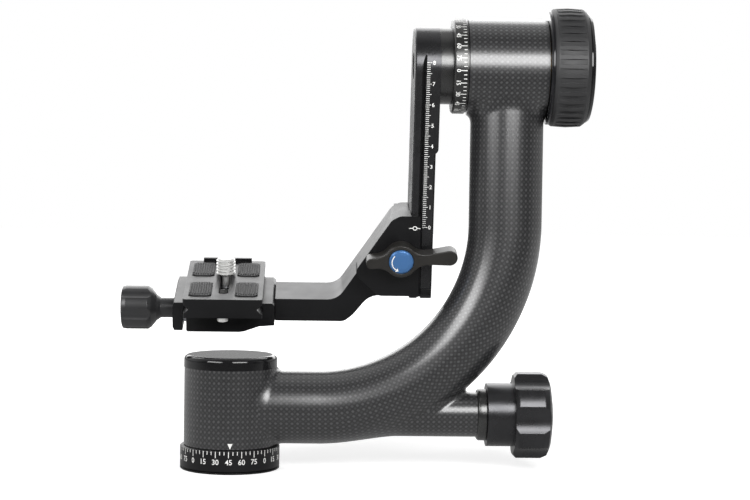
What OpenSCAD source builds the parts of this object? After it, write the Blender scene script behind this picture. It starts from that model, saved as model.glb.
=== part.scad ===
// Gimbal tripod head: a carbon yoke that pans on a foot, an arm that tilts on the yoke,
// and a cradle that slides on the arm's rail and holds a dovetail plate.
// Origin: the pan axis at the bottom of the foot. Z is up, the yoke reaches towards +X,
// and the operator's side, with the height lever, is -Y.

/* [Overall] */
// Clearance between the straight hanging clamp and the pan cap
cradle_clear = 10.1; // [4:0.1:40]
// Lean of the hanging arm at rest, in degrees
rest_tilt = 15; // [0:1:30]
// Distance from the pan axis to the centre of the upright tube
upright_x = 130.1; // [129:0.1:145]
// Height of the lower tube's centre line
lower_z = 29.2; // [28.5:0.1:30]
// Radius of the bend, to the tube's centre line
bend_r = 88.5; // [75:0.1:90]
// How far the plate's centre line lies to the side of the pan axis
plate_offset_x = 4.3; // [0:0.1:5]

/* [Foot] */
// Radius of the numbered pan ring
pan_ring_r = 23.7; // [23.4:0.1:26]
// Height of the numbered pan ring
pan_ring_h = 10.4; // [10:0.1:12]
// Thickness of the foot's rim under the ring
foot_rim_h = 0.8; // [0.5:0.1:1.2]
// Radius of the foot inside the ring
foot_r = 21.4; // [21:0.1:22]
// Height of the foot's body above its rim
foot_body_h = 7; // [6:0.1:7.5]
// Radius of the 3/8 inch tripod socket
socket_r = 4.7625; // [4.7:0.0125:4.8]
// Depth of the tripod socket
socket_depth = 11; // [9:0.5:11.5]
// Radius of the foot's central spigot
spigot_r = 7.5; // [7:0.1:8]
// Height of the spigot above the foot's body
spigot_h = 4.8; // [4.4:0.1:5]
// Radius of the pan spindle and its bearing seats
spindle_r = 10; // [9.5:0.1:10.5]
// Length of the threaded spindle end
spindle_thread_len = 6.3; // [5.5:0.1:7]
// Radius of the threaded spindle end
spindle_thread_r = 8.5; // [8:0.1:9]
// Thickness of the spindle's foot flange
spindle_flange_h = 3.4; // [3:0.1:3.8]
// Radius of the spindle's foot flange
spindle_flange_r = 18; // [17.5:0.1:19]
// Thickness of the spindle nut
spindle_nut_h = 4; // [3.5:0.1:4.2]
// Corner radius of the spindle nut
spindle_nut_r = 13; // [12:0.1:13.5]
// Radius of the brake drum that the pan lock presses on
drum_r = 12.4; // [12:0.1:12.8]

/* [Bearings] */
// Outer radius of the four bearings
bearing_r = 16; // [15.5:0.1:16.5]
// Width of the four bearings
bearing_w = 7; // [6:0.1:7.5]
// Radius of the shoulders between the bearings
shoulder_r = 14; // [13.8:0.1:15]

/* [Yoke] */
// Outer radius of the bent tube
tube_r = 17.4; // [16.5:0.1:18]
// Wall of the bent tube
tube_wall = 2.2; // [1.5:0.1:2.5]
// Outer radius of the pan housing
housing_r = 22; // [21.8:0.1:23]
// Height of the pan housing
housing_h = 36.9; // [36:0.1:38]
// Wall of the pan housing
housing_wall = 2.4; // [2:0.1:2.6]
// Outer radius of the cross tube on the tilt axis
cross_r = 22.4; // [22:0.1:23]
// Length of the cross tube
cross_len = 37.5; // [37.5:0.1:40]
// How far the cross tube sits towards the swing arm from the upright tube
cross_shift = 0.95; // [0:0.05:1]
// Wall of the cross tube
cross_wall = 2.4; // [2:0.1:2.6]
// Radius of the housing's cap
cap_r = 22.2; // [22:0.1:23]
// Height of the cap above the housing
cap_h = 5.8; // [5:0.1:7]
// Rounding of the cap's top edge
cap_round = 2.4; // [1:0.1:4.5]

/* [Pan lock] */
// Height of the lock's axis above the foot
lock_z = 26.4; // [26:0.1:27]
// Outer radius of the boss on the tube
boss_r = 10.7; // [10.5:0.1:11.5]
// Wall of the boss
boss_wall = 2.5; // [2:0.1:2.7]
// Distance from the pan axis to the end of the boss
boss_end_x = 117.6; // [117:0.1:125]
// Radius of the collar on the boss
collar_r = 12.4; // [11.5:0.1:13]
// Width of the collar
collar_w = 4.4; // [4:0.1:6]
// Length of the collar's threaded spigot
collar_spigot_len = 17.5; // [15:0.1:18]
// Radius of the lock knob's neck
lock_neck_r = 15.1; // [14.5:0.1:16]
// Length of the lock knob's neck
lock_neck_len = 12.9; // [11:0.1:14]
// Radius of the lock knob's head over its lobes
lock_knob_r = 20.6; // [19:0.1:21]
// Length of the lock knob's head
lock_knob_len = 18.6; // [17:0.1:21]
// Number of lobes on the lock knob
lock_lobes = 6; // [5:1:7]
// Radius of the lock screw
lock_screw_r = 4; // [3.5:0.1:4.5]
// Radius of the push rod
rod_r = 3; // [2.5:0.1:3.2]

/* [Tilt stack] */
// Width of the numbered tilt ring
tilt_ring_w = 6.8; // [6:0.1:7]
// Radius of the numbered tilt ring
tilt_ring_r = 22.5; // [22:0.1:23.5]
// Width of the spacer drum
hub_w = 6.1; // [6:0.1:8]
// Radius of the spacer drum and of the rail's round head
hub_r = 18.1; // [18:0.05:18.5]
// Radius of the tilt shaft
shaft_r = 10; // [9.5:0.1:10.5]
// Radius of the shaft's spigot in the rail's head
shaft_spigot_r = 7.5; // [7:0.1:8]
// Radius of the shaft's threaded end in the tilt knob
shaft_end_r = 8; // [7.5:0.1:8.5]
// Length of the shaft's threaded end
shaft_end_len = 12; // [11:0.1:13]

/* [Rail] */
// Thickness of the rail's round head
head_w = 12; // [11.5:0.1:13.5]
// Thickness of the rail below the step
rail_t = 10.8; // [10.6:0.1:11.5]
// Half the width of the rail
rail_half_w = 18; // [17.8:0.05:18]
// Length of the rail's thicker part below the tilt axis
rail_thick_len = 39; // [35:0.5:45]
// Distance from the tilt axis down to the rail's lower end
rail_end_down = 110.6; // [109:0.1:118]
// Depth of the V groove along each edge of the rail
groove_depth = 2.2; // [1.8:0.1:2.4]
// Distance from the rail's outer face to the groove
groove_in = 3.3; // [3:0.1:3.6]
// Width of the groove at the rail's edge
groove_w = 2.1; // [2:0.1:2.4]
// Radius of the screw recess in the rail's head
recess_r = 6.5; // [6:0.1:7]
// Depth of the screw recess
recess_depth = 5; // [4.8:0.1:5.4]

/* [Tilt knob] */
// Radius of the rubber grip at its crown
grip_r = 28.2; // [27.5:0.1:30]
// Width of the rubber grip
grip_w = 16.9; // [16:0.1:19]
// Number of grooves round the grip
grip_grooves = 40; // [24:1:44]
// Radius of the knob's core under the grip
core_r = 23; // [22.5:0.1:24]
// Radius of the polished flange
flange_r = 27.1; // [26.5:0.1:28]
// Width of the polished flange
flange_w = 1.4; // [1.2:0.1:4]
// Thickness of the end cap
end_cap_h = 2.4; // [2.4:0.1:4]
// Radius of the end cap
end_cap_r = 26; // [25:0.1:27]

/* [Bracket] */
// Half the depth of the bracket's arm
arm_half_d = 13; // [12:0.1:13.5]
// Distance from the tilt axis down to the arm's upper face
arm_top_down = 113.6; // [113.6:0.1:116]
// Thickness of the arm
arm_t = 11.2; // [10:0.1:12.5]
// Distance from the tilt axis down to the top of the bracket's block
block_top_down = 71.4; // [70:0.1:75]
// Distance from the tilt axis down to the bottom of the bracket's block
block_end_down = 111.2; // [111:0.1:113]
// Width of the bracket's block at its top, beside the rail
block_top_w = 6.5; // [5:0.1:9]
// Slope of the bracket's web, as drop over run
web_slope = 1.51; // [1.3:0.01:1.6]
// Depth of the pocket that the front jaw lies in
jaw_pocket = 3; // [2.5:0.1:4]
// Thickness of the front jaw
jaw_t = 10.8; // [10.5:0.1:12]
// Radius of the lever's stud
stud_r = 3; // [2.5:0.1:3.2]

/* [Height lever] */
// Radius of the lever's hub
lever_hub_r = 7.9; // [7.5:0.1:8.5]
// Thickness of the lever
lever_t = 9; // [8:0.1:10]
// Length of the long wing from the stud to the centre of its round tip
lever_long = 23.2; // [20:0.1:24]
// Length of the short wing from the stud to the centre of its round tip
lever_short = 14; // [12:0.1:15]
// Radius of the long wing's round tip
lever_tip_r = 3.7; // [3.4:0.1:4.2]
// Radius of the short wing's round tip
lever_short_tip_r = 2.7; // [2.4:0.1:3.4]
// Lean of the lever in the photographed pose, in degrees
lever_lean = 5; // [0:1:12]
// Radius of the lever's coloured cap
lever_cap_r = 5.8; // [5:0.1:6.2]

/* [Quick-release clamp] */
// Half the depth of the clamp's body and jaws
clamp_half_d = 20; // [18:0.1:21]
// Height of the clamp's body from the jaw tops to the bottom
clamp_h = 14.8; // [14:0.1:16]
// Width of the moving jaw at its root
moving_jaw_w = 4.9; // [4.5:0.1:6]
// Gap between the clamp's body and the moving jaw
jaw_gap = 1.7; // [1.5:0.1:4]
// Radius of the clamp knob over its lobes
clamp_knob_r = 10.7; // [10:0.1:11.2]
// Length of the clamp knob's head
clamp_knob_len = 14.2; // [12:0.1:16]
// Length of the knob's taper and neck
clamp_neck_len = 11.7; // [10:0.1:13]
// Radius of the clamp knob's neck
clamp_neck_r = 4.9; // [4.5:0.1:5.5]
// Number of lobes on the clamp knob
clamp_lobes = 6; // [5:1:8]

/* [Plate] */
// Length of the plate
plate_len = 60; // [56:0.5:70]
// Width of the plate over its dovetail
plate_w = 38; // [38:0.05:38.2]
// Thickness of the plate
plate_t = 9.5; // [9:0.1:10]
// Width of the plate's waist
plate_waist = 32.6; // [32:0.1:33]
// Width of the screw slot
slot_w = 4.6; // [4.4:0.1:5]
// Distance from the plate's middle to the slot's near end
slot_front = 21.6; // [20:0.1:23]
// Distance from the plate's middle to the slot's far end
slot_back = 14; // [13.5:0.1:16]
// Width of each rubber pad
pad_w = 10.7; // [9:0.1:11]
// Length of each rubber pad
pad_len = 19.6; // [18:0.1:22]
// Number of ribs on each pad
pad_ribs = 7; // [5:1:9]
// Length of the rear lip
lip_len = 24.2; // [20:0.1:30]
// Height of the rear lip above the plate
lip_h = 1.8; // [1.2:0.1:3]
// Radius of the 3/8 inch camera screw
camera_screw_r = 4.7625; // [4.7:0.0125:4.8]
// Length of the camera screw's thread above its neck
camera_screw_len = 7.8; // [6:0.1:9]
// Distance from the plate's middle back to the camera screw
camera_screw_y = 8; // [0:0.5:10]

/* [Hidden] */
$fn = 96;

// Clearances: turning faces, a shaft in its bore, a seated edge, and the overrun of every cut
face_gap = 0.3;
running_gap = 0.02;
slide_gap = 0.15;
thread_gap = 0.05;
over = 1;

// Colours
anodised = [0.09, 0.09, 0.1];
carbon = [0.2, 0.2, 0.21];
rubber = [0.26, 0.26, 0.26];
steel = [0.7, 0.7, 0.72];
bronze = [0.62, 0.5, 0.3];
blue = [0.23, 0.43, 0.66];

// Heights of the foot and the pan housing
foot_top = foot_rim_h + foot_body_h;
ring_top = foot_rim_h + pan_ring_h;
ring_chamfer = 0.6;
housing_z0 = ring_top + face_gap;
housing_top = housing_z0 + housing_h;
flange_top = foot_top + spindle_flange_h;
bearing_foot_gap = 1.5;
lower_bearing_z = flange_top + bearing_foot_gap;
drum_z = lower_bearing_z + bearing_w + face_gap;
drum_h = 12.4;
upper_bearing_z = drum_z + drum_h + face_gap;
spindle_seat_top = upper_bearing_z + bearing_w;
washer_h = 1;
foot_screw_r = 1.6;
foot_screw_head_r = 3.2;
foot_screw_head_h = 1.8;
foot_screw_circle_r = 13.2;
foot_screw_count = 3;

// Yoke centre lines
bend_x = upright_x - bend_r;
bend_z = lower_z + bend_r;
cross_x0 = upright_x - cross_shift - cross_len / 2;
cross_x1 = cross_x0 + cross_len;
sleeve_r = housing_r - housing_wall;
cross_sleeve_r = cross_r - cross_wall;
cap_plug_h = 2.8;
cap_hollow_r = 15;
cap_hollow_h = 5.2;
sleeve_top = housing_top - cap_plug_h;

// Pan lock along X
boss_start_x = bend_x + tube_r;
boss_bore_r = boss_r - boss_wall;
boss_bore_len = 27;
boss_bore_x = boss_end_x - boss_bore_len;
collar_x1 = boss_end_x + collar_w;
collar_round = 1.6;
guide_w = 6;
guide_x0 = boss_bore_x + guide_w / 2;
rod_x1 = boss_end_x - collar_spigot_len - slide_gap;
shoe_r = 4.2;
shoe_x1 = shoulder_r + over;
neck_x0 = collar_x1 + face_gap;
lock_head_x0 = neck_x0 + lock_neck_len;
lock_head_x1 = lock_head_x0 + lock_knob_len;
lock_screw_cover = 6;
lock_round_r = 4;
lock_edge_r = 1.6;
lock_dome_h = 1.4;
lock_hollow_r = 13;
lock_hollow_depth = 2.6;
lock_screw_x1 = lock_head_x1 - lock_screw_cover;

// Tilt stack along X, from the cross tube to the left
ring_x1 = cross_x0 - face_gap;
ring_x0 = ring_x1 - tilt_ring_w;
hub_x0 = ring_x0 - hub_w;
rail_x0 = hub_x0 - head_w;
rail_x1 = rail_x0 + rail_t;
web_x = rail_x0 + recess_depth;
web_t = 2.8;
arm_screw_r = 3;
arm_screw_head_r = 5;
arm_screw_head_h = 4.5;
arm_screw_reach = 15;
shoulder_round_r = 3;
head_chamfer = 0.6;

// Tilt knob along X, from the cross tube to the right
washer_x0 = cross_x1 + slide_gap;
friction_t = 0.8;
friction_r = 20;
pressure_x0 = washer_x0 + friction_t;
pressure_t = 2.5;
pressure_r = 20.6;
flange_x0 = cross_x1 + face_gap;
flange_x1 = flange_x0 + flange_w;
flange_bevel = 0.5;
core_recess_r = 21;
core_recess_x1 = pressure_x0 + pressure_t + slide_gap;
grip_x1 = flange_x1 + grip_w;
grip_edge = 1.6;
groove_cut_r = 26;
groove_cut_t = 2.4;
groove_cut_depth = 1.2;
shaft_end_x = flange_x0 + shaft_end_len;
end_bore_r = 13;
end_bore_x = shaft_end_x - face_gap;
end_washer_gap = 1.6;
end_washer_x = shaft_end_x + end_washer_gap;
end_washer_r = 11;
end_washer_t = 1.2;
end_screw_r = 3;
end_screw_head_r = 5.5;
end_screw_head_h = 2.6;
end_screw_reach = 11;

// Bracket and jaw, in the arm's own frame: X across, Y in depth, and "down" below the tilt axis
bracket_x1 = rail_x0 - slide_gap;
hook_x1 = rail_x0 + groove_in + groove_w - face_gap;
hook_y = rail_half_w + slide_gap;
hook_t = 3;
lip_y = rail_half_w - groove_depth + face_gap;
arm_end_down = arm_top_down + arm_t;
block_left_x = bracket_x1 - block_top_w;
web_foot_x = block_left_x - (arm_top_down - block_top_down) / web_slope;
block_foot_w = 18.7;
block_foot_x = bracket_x1 - block_foot_w;
block_foot_run = 10.8;
corner_share = 0.25;
corner_run = 1.4;
crown_run = 2.6;
web_run_share = cos(atan(web_slope));
web_rise_share = sin(atan(web_slope));
inner_round = 9;
outer_round = 4.5;
rear_hook_drop = 3;
rear_hook_w = 6.5;
rear_hook_top_down = block_top_down + rear_hook_drop;
rear_hook_x0 = bracket_x1 - rear_hook_w;
jaw_y0 = -arm_half_d + jaw_pocket;
jaw_front_y = jaw_y0 - jaw_t;
jaw_rise = 2.8;
jaw_lead = 1.2;
jaw_left_x = block_left_x - jaw_lead;
jaw_foot_gap = 2.4;
jaw_top_down = block_top_down - jaw_rise;
jaw_end_down = block_end_down - jaw_foot_gap;
jaw_round = 4;
jaw_rim = 0.8;
stud_in = 4.6;
stud_share = 0.43;
stud_down = block_top_down + (block_end_down - block_top_down) * stud_share;
stud_x = bracket_x1 - stud_in;
stud_back_y = 6;
lever_y1 = jaw_front_y - slide_gap;
lever_y0 = lever_y1 - lever_t;
lever_bore_r = stud_r + thread_gap;
lever_waist_r = 2.7;
lever_waist_share = 0.62;
lever_cap_seat = 1.2;
lever_cap_h = 2.2;

// Clamp, in the arm's own frame
plate_x = -plate_offset_x;
plate_rise = 5.2;
plate_down = arm_top_down - plate_rise;
plate_bottom_down = plate_down + plate_t;
plate_top_edge = 2.5;
plate_foot_edge = 1.6;
plate_flank = (plate_w - plate_waist) / 2;
plate_waist_down = plate_down + plate_top_edge + plate_flank;
floor_down = plate_bottom_down + slide_gap;
fixed_jaw_w = 5.6;
clamp_x1 = plate_x + plate_w / 2 + fixed_jaw_w;
jaw_back_w = 0.7;
moving_x1 = plate_x - plate_w / 2 - jaw_back_w;
clamp_x0 = moving_x1 + jaw_gap;
clamp_end_down = arm_top_down + clamp_h;
clamp_chamfer = 1.2;
moving_x0 = moving_x1 - moving_jaw_w;
clamp_axis_drop = 9.6;
clamp_axis_down = arm_top_down + clamp_axis_drop;
clamp_screw_r = 3;
clamp_screw_reach = 26;
pin_r = 2;
pin_y = 14;
pin_reach = 16;
tongue_len = 13.2;
tongue_x0 = clamp_x1 - tongue_len;
tongue_cover = 2.4;
tongue_down = floor_down + tongue_cover;
tongue_screw_in = 8;
tongue_screw_x = clamp_x1 - tongue_screw_in;
tongue_screw_y = 7.5;
tongue_screw_r = 1.5;
tongue_screw_head_r = 2.8;
tongue_screw_head_h = 1.4;
clamp_knob_x1 = moving_x0 - face_gap;
clamp_head_x1 = clamp_knob_x1 - clamp_neck_len;
clamp_head_x0 = clamp_head_x1 - clamp_knob_len;

// Height of the tilt axis: the hanging clamp clears the pan cap
tilt_z = housing_top + cap_h + cradle_clear + clamp_end_down;

// Plate furniture
entry_r = 3.65;
channel_w = 14;
channel_h = 4.5;
channel_front = 26.5;
channel_back = 21.5;
plate_corner_r = 1.5;
lip_t = 1.8;
pad_x = 11.1;
pad_y = 15.2;
pad_seat = 1;
pad_rise = 0.5;
rib_rise = 0.5;
rib_share = 0.55;
stop_screw_r = 1.5;
stop_head_r = 2.65;
stop_head_h = 2;
stop_in = 2.9;
stop_y = plate_len / 2 - stop_in;
neck_r = 2.1;
screw_head_r = 6.3;
screw_head_h = 2.9;
slider_t = 0.7;
slider_r = 6;
coin_slot_w = 1.4;
coin_slot_h = 1.2;

// Cylinder along X between two places
module rod_x(r, x0, x1) {
    translate([x0, 0, 0]) rotate([0, 90, 0]) cylinder(r = r, h = x1 - x0);
}

// Ring along X between two places
module ring_x(r_out, r_in, x0, x1) {
    difference() {
        rod_x(r_out, x0, x1);
        rod_x(r_in, x0 - over, x1 + over);
    }
}

// Ring along Z between two heights
module ring_z(r_out, r_in, z0, z1) {
    translate([0, 0, z0]) difference() {
        cylinder(r = r_out, h = z1 - z0);
        translate([0, 0, -over]) cylinder(r = r_in, h = z1 - z0 + 2 * over);
    }
}

// Turns an outline of radius and length about X
module turned_x() {
    rotate([0, 90, 0]) rotate_extrude() children();
}

// Stands an outline of X and height up, and gives it depth from y0 to y1
module in_depth(y0, y1) {
    translate([0, y1, 0]) rotate([90, 0, 0]) linear_extrude(y1 - y0) children();
}

// The arm's own frame: the tilt axis is its origin and the rail hangs down -Z
module in_arm() {
    translate([0, 0, tilt_z]) rotate([rest_tilt, 0, 0]) children();
}

// Box in the arm's own frame, between two depths below the tilt axis
module slab(x0, x1, y0, y1, down0, down1) {
    translate([x0, y0, -down1]) cube([x1 - x0, y1 - y0, down1 - down0]);
}

// Rounds an outline's outer and inner corners
module rounded(outer, inner) {
    offset(r = outer, $fn = 32) offset(r = -outer - inner, $fn = 32) offset(delta = inner) children();
}

// Foot: a rim, a body with the tripod socket, and a spigot for the spindle
module base_plate() {
    color(anodised) difference() {
        union() {
            rim_chamfer = foot_rim_h / 2;
            cylinder(r1 = pan_ring_r - rim_chamfer, r2 = pan_ring_r, h = rim_chamfer);
            translate([0, 0, rim_chamfer]) cylinder(r = pan_ring_r, h = foot_rim_h - rim_chamfer);
            translate([0, 0, foot_rim_h]) cylinder(r = foot_r, h = foot_body_h);
            translate([0, 0, foot_top]) cylinder(r = spigot_r, h = spigot_h);
        }
        translate([0, 0, -over]) cylinder(r = socket_r, h = socket_depth + over);
        foot_screw_places() {
            translate([0, 0, -over]) cylinder(r = foot_screw_r, h = foot_top + 2 * over);
            cylinder(r1 = foot_screw_head_r, r2 = foot_screw_r, h = foot_screw_head_h);
        }
    }
}

// Places of the foot's screws
module foot_screw_places() {
    for (i = [0 : foot_screw_count - 1])
        rotate([0, 0, i * 360 / foot_screw_count]) translate([foot_screw_circle_r, 0, 0]) children();
}

// Numbered ring with chamfered edges
module pan_dial_ring() {
    color(anodised) rotate_extrude() polygon([
        [foot_r, foot_rim_h],
        [pan_ring_r - ring_chamfer, foot_rim_h],
        [pan_ring_r, foot_rim_h + ring_chamfer],
        [pan_ring_r, ring_top - ring_chamfer],
        [pan_ring_r - ring_chamfer, ring_top],
        [foot_r, ring_top]
    ]);
}

// Post with a flange, two bearing seats and a threaded end
module pan_spindle() {
    color(steel) difference() {
        union() {
            translate([0, 0, foot_top]) cylinder(r = spindle_flange_r, h = spindle_flange_h);
            translate([0, 0, flange_top]) cylinder(r = spindle_r, h = spindle_seat_top - flange_top);
            translate([0, 0, spindle_seat_top]) cylinder(r = spindle_thread_r, h = spindle_thread_len);
        }
        translate([0, 0, foot_top - over])
            cylinder(r = spigot_r, h = spigot_h + slide_gap + over);
        foot_screw_places() translate([0, 0, foot_top - over])
            cylinder(r = foot_screw_r, h = spindle_flange_h + 2 * over);
    }
}

module brake_drum() {
    color(bronze) ring_z(drum_r, spindle_r, drum_z, drum_z + drum_h);
}

module spindle_washer() {
    color(steel) ring_z(spindle_nut_r, spindle_thread_r,
        spindle_seat_top + slide_gap, spindle_seat_top + slide_gap + washer_h);
}

// Six-sided nut on the spindle's end
module spindle_nut() {
    color(steel) translate([0, 0, spindle_seat_top + slide_gap + washer_h]) difference() {
        cylinder(r = spindle_nut_r, h = spindle_nut_h, $fn = 6);
        translate([0, 0, -over]) cylinder(r = spindle_thread_r, h = spindle_nut_h + 2 * over);
    }
}

module base_screws() {
    color(steel) foot_screw_places() {
        cylinder(r1 = foot_screw_head_r, r2 = foot_screw_r, h = foot_screw_head_h);
        translate([0, 0, foot_screw_head_h])
            cylinder(r = foot_screw_r, h = flange_top - foot_screw_head_h);
    }
}

// Quarter turn of the bent tube, from straight down to straight out
module tube_bend(r) {
    translate([bend_x, 0, bend_z]) rotate([90, 0, 0])
        rotate_extrude(angle = 90, start = -90) translate([bend_r, 0]) circle(r = r);
}

// The tube's run from the pan housing to the cross tube
module tube_run(r) {
    translate([0, 0, lower_z]) rod_x(r, 0, bend_x);
    tube_bend(r);
    translate([upright_x, 0, bend_z]) cylinder(r = r, h = tilt_z - bend_z);
}

// Carbon body in one piece: pan housing, bent tube, cross tube and the pan lock's boss
module yoke_tube() {
    color(carbon) difference() {
        union() {
            translate([0, 0, housing_z0]) cylinder(r = housing_r, h = housing_h);
            tube_run(tube_r);
            translate([0, 0, tilt_z]) rod_x(cross_r, cross_x0, cross_x1);
            translate([0, 0, lock_z]) rod_x(boss_r, boss_start_x, boss_end_x);
        }
        translate([0, 0, housing_z0 - over]) cylinder(r = sleeve_r, h = housing_h + 2 * over);
        tube_run(tube_r - tube_wall);
        translate([0, 0, tilt_z]) rod_x(cross_sleeve_r, cross_x0 - over, cross_x1 + over);
        translate([0, 0, lock_z]) {
            rod_x(boss_bore_r, boss_bore_x, boss_end_x + over);
            rod_x(rod_r + face_gap, bend_x, boss_bore_x + over);
        }
    }
}

// Insert with two bearing seats, a shoulder between them and a hole for the lock's shoe
module pan_sleeve() {
    color(anodised) difference() {
        translate([0, 0, housing_z0 + face_gap])
            cylinder(r = sleeve_r, h = sleeve_top - housing_z0 - face_gap);
        translate([0, 0, housing_z0]) cylinder(r = shoulder_r, h = housing_h);
        translate([0, 0, housing_z0]) cylinder(r = bearing_r, h = lower_bearing_z + bearing_w - housing_z0);
        translate([0, 0, upper_bearing_z]) cylinder(r = bearing_r, h = housing_h);
        translate([0, 0, lock_z]) rod_x(shoe_r + slide_gap, 0, housing_r);
    }
}

module pan_bearing_lower() {
    color(steel) ring_z(bearing_r, spindle_r + running_gap, lower_bearing_z, lower_bearing_z + bearing_w);
}

module pan_bearing_upper() {
    color(steel) ring_z(bearing_r, spindle_r + running_gap, upper_bearing_z, upper_bearing_z + bearing_w);
}

// Cap with a rounded top edge, and a plug that seats in the housing
module pan_cap() {
    color(carbon) rotate_extrude() difference() {
        union() {
            translate([0, housing_top]) square([cap_r, cap_h - cap_round]);
            translate([0, housing_top]) square([cap_r - cap_round, cap_h]);
            translate([cap_r - cap_round, housing_top + cap_h - cap_round]) intersection() {
                circle(r = cap_round);
                square([cap_round, cap_round]);
            }
            translate([0, sleeve_top]) square([sleeve_r, cap_plug_h]);
        }
        translate([0, sleeve_top - over]) square([cap_hollow_r, cap_hollow_h + over]);
    }
}

// Collar with a rounded inner edge and a threaded spigot in the boss
module lock_collar() {
    color(anodised) translate([0, 0, lock_z]) difference() {
        union() {
            turned_x() difference() {
                translate([0, boss_end_x]) square([collar_r, collar_w]);
                translate([collar_r - collar_round, boss_end_x]) difference() {
                    translate([0, -over]) square([collar_round + over, collar_round + over]);
                    translate([0, collar_round]) circle(r = collar_round);
                }
            }
            rod_x(boss_bore_r, boss_end_x - collar_spigot_len, boss_end_x);
        }
        rod_x(lock_screw_r + thread_gap, boss_end_x - collar_spigot_len - over, collar_x1 + over);
    }
}

module rod_guide() {
    color(bronze) translate([0, 0, lock_z])
        ring_x(boss_bore_r, rod_r + thread_gap, guide_x0, guide_x0 + guide_w);
}

// Insert in the cross tube with a bearing seat at each end
module tilt_sleeve() {
    color(anodised) translate([0, 0, tilt_z]) difference() {
        rod_x(cross_sleeve_r, cross_x0, cross_x1);
        rod_x(shoulder_r, cross_x0 - over, cross_x1 + over);
        rod_x(bearing_r, cross_x0 - over, cross_x0 + face_gap + bearing_w);
        rod_x(bearing_r, cross_x1 - face_gap - bearing_w, cross_x1 + over);
    }
}

module tilt_bearing_left() {
    color(steel) translate([0, 0, tilt_z]) ring_x(bearing_r, shaft_r + running_gap,
        cross_x0 + face_gap, cross_x0 + face_gap + bearing_w);
}

module tilt_bearing_right() {
    color(steel) translate([0, 0, tilt_z]) ring_x(bearing_r, shaft_r + running_gap,
        cross_x1 - face_gap - bearing_w, cross_x1 - face_gap);
}

// Outline of a knob with hollows between its lobes
module lobed_outline(r, lobes, hollow_r, depth) {
    difference() {
        circle(r = r);
        for (i = [0 : lobes - 1])
            rotate([0, 0, (i + 1 / 2) * 360 / lobes])
                translate([r + hollow_r - depth, 0]) circle(r = hollow_r);
    }
}

// Knob with a plain neck, a lobed head, and a domed end
module pan_lock_knob() {
    color(anodised) translate([0, 0, lock_z]) difference() {
        union() {
            rod_x(lock_neck_r, neck_x0, lock_head_x0);
            intersection() {
                translate([lock_head_x0, 0, 0]) rotate([0, 90, 0])
                    linear_extrude(lock_knob_len)
                        lobed_outline(lock_knob_r, lock_lobes, lock_hollow_r, lock_hollow_depth);
                turned_x() polygon([
                    [0, lock_head_x0],
                    [lock_knob_r - lock_edge_r, lock_head_x0],
                    [lock_knob_r, lock_head_x0 + lock_edge_r],
                    [lock_knob_r, lock_head_x1 - lock_dome_h - lock_round_r],
                    [lock_knob_r - lock_round_r * (1 - cos(45)),
                        lock_head_x1 - lock_dome_h - lock_round_r * (1 - sin(45))],
                    [lock_knob_r - lock_round_r, lock_head_x1 - lock_dome_h],
                    [lock_knob_r / 2, lock_head_x1 - lock_dome_h / 4],
                    [0, lock_head_x1]
                ]);
            }
        }
        rod_x(lock_screw_r, neck_x0 - over, lock_screw_x1);
    }
}

module pan_lock_screw() {
    color(steel) translate([0, 0, lock_z])
        rod_x(lock_screw_r, boss_end_x - collar_spigot_len, lock_screw_x1);
}

module pan_push_rod() {
    color(steel) translate([0, 0, lock_z]) rod_x(rod_r, shoe_x1, rod_x1);
}

// Shoe with a hollow face that fits round the brake drum
module pan_brake_shoe() {
    color(bronze) difference() {
        translate([0, 0, lock_z]) rod_x(shoe_r, 0, shoe_x1);
        cylinder(r = drum_r + thread_gap, h = housing_top);
    }
}

// Edge outline of the rail: X across, Y over half its width, with the V groove
module rail_section(thickness) {
    edge = 0.7;
    polygon(concat(
        [for (s = [-1, 1]) each [for (i = [0 : 7]) let (
            p = [
                [0, rail_half_w - edge],
                [edge, rail_half_w],
                [groove_in, rail_half_w],
                [groove_in + groove_depth * 2 / 3, rail_half_w - groove_depth],
                [groove_in + groove_w, rail_half_w - groove_depth],
                [groove_in + groove_w, rail_half_w],
                [thickness - edge, rail_half_w],
                [thickness, rail_half_w - edge]
            ][s < 0 ? 7 - i : i]) [rail_x0 + p[0], s * p[1]]]]
    ));
}

// Round head and dovetail rail in one piece, thicker above the step
module swing_rail() {
    color(anodised) in_arm() difference() {
        union() {
            rod_x(hub_r, rail_x0 + head_chamfer, hub_x0);
            turned_x() polygon([
                [0, rail_x0],
                [hub_r - head_chamfer, rail_x0],
                [hub_r, rail_x0 + head_chamfer],
                [0, rail_x0 + head_chamfer]
            ]);
            translate([0, 0, -rail_end_down]) linear_extrude(rail_end_down) rail_section(rail_t);
            in_depth(-rail_half_w, rail_half_w) hull() {
                translate([rail_x1 - shoulder_round_r, -rail_thick_len / 2])
                    square([hub_x0 - rail_x1 + shoulder_round_r, rail_thick_len / 2]);
                translate([hub_x0 - shoulder_round_r, shoulder_round_r - rail_thick_len])
                    circle(r = shoulder_round_r, $fn = 32);
                translate([rail_x1 - shoulder_round_r, -rail_thick_len])
                    square([shoulder_round_r / 2, shoulder_round_r / 2]);
            }
        }
        groove_run_out();
        rod_x(recess_r, rail_x0 - over, web_x);
        rod_x(arm_screw_r, rail_x0, hub_x0);
        rod_x(shaft_spigot_r, web_x + web_t, hub_x0 + over);
    }
}

// The groove's cutter runs out through the round head
module groove_run_out() {
    for (s = [-1, 1])
        translate([0, 0, -rail_half_w]) linear_extrude(2 * rail_half_w) polygon([
            [rail_x0 + groove_in, s * rail_half_w],
            [rail_x0 + groove_in - groove_depth / 2, s * (rail_half_w + over)],
            [rail_x0 + groove_in + groove_w, s * (rail_half_w + over)],
            [rail_x0 + groove_in + groove_w, s * (rail_half_w - groove_depth)],
            [rail_x0 + groove_in + groove_depth * 2 / 3, s * (rail_half_w - groove_depth)]
        ]);
}

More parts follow.
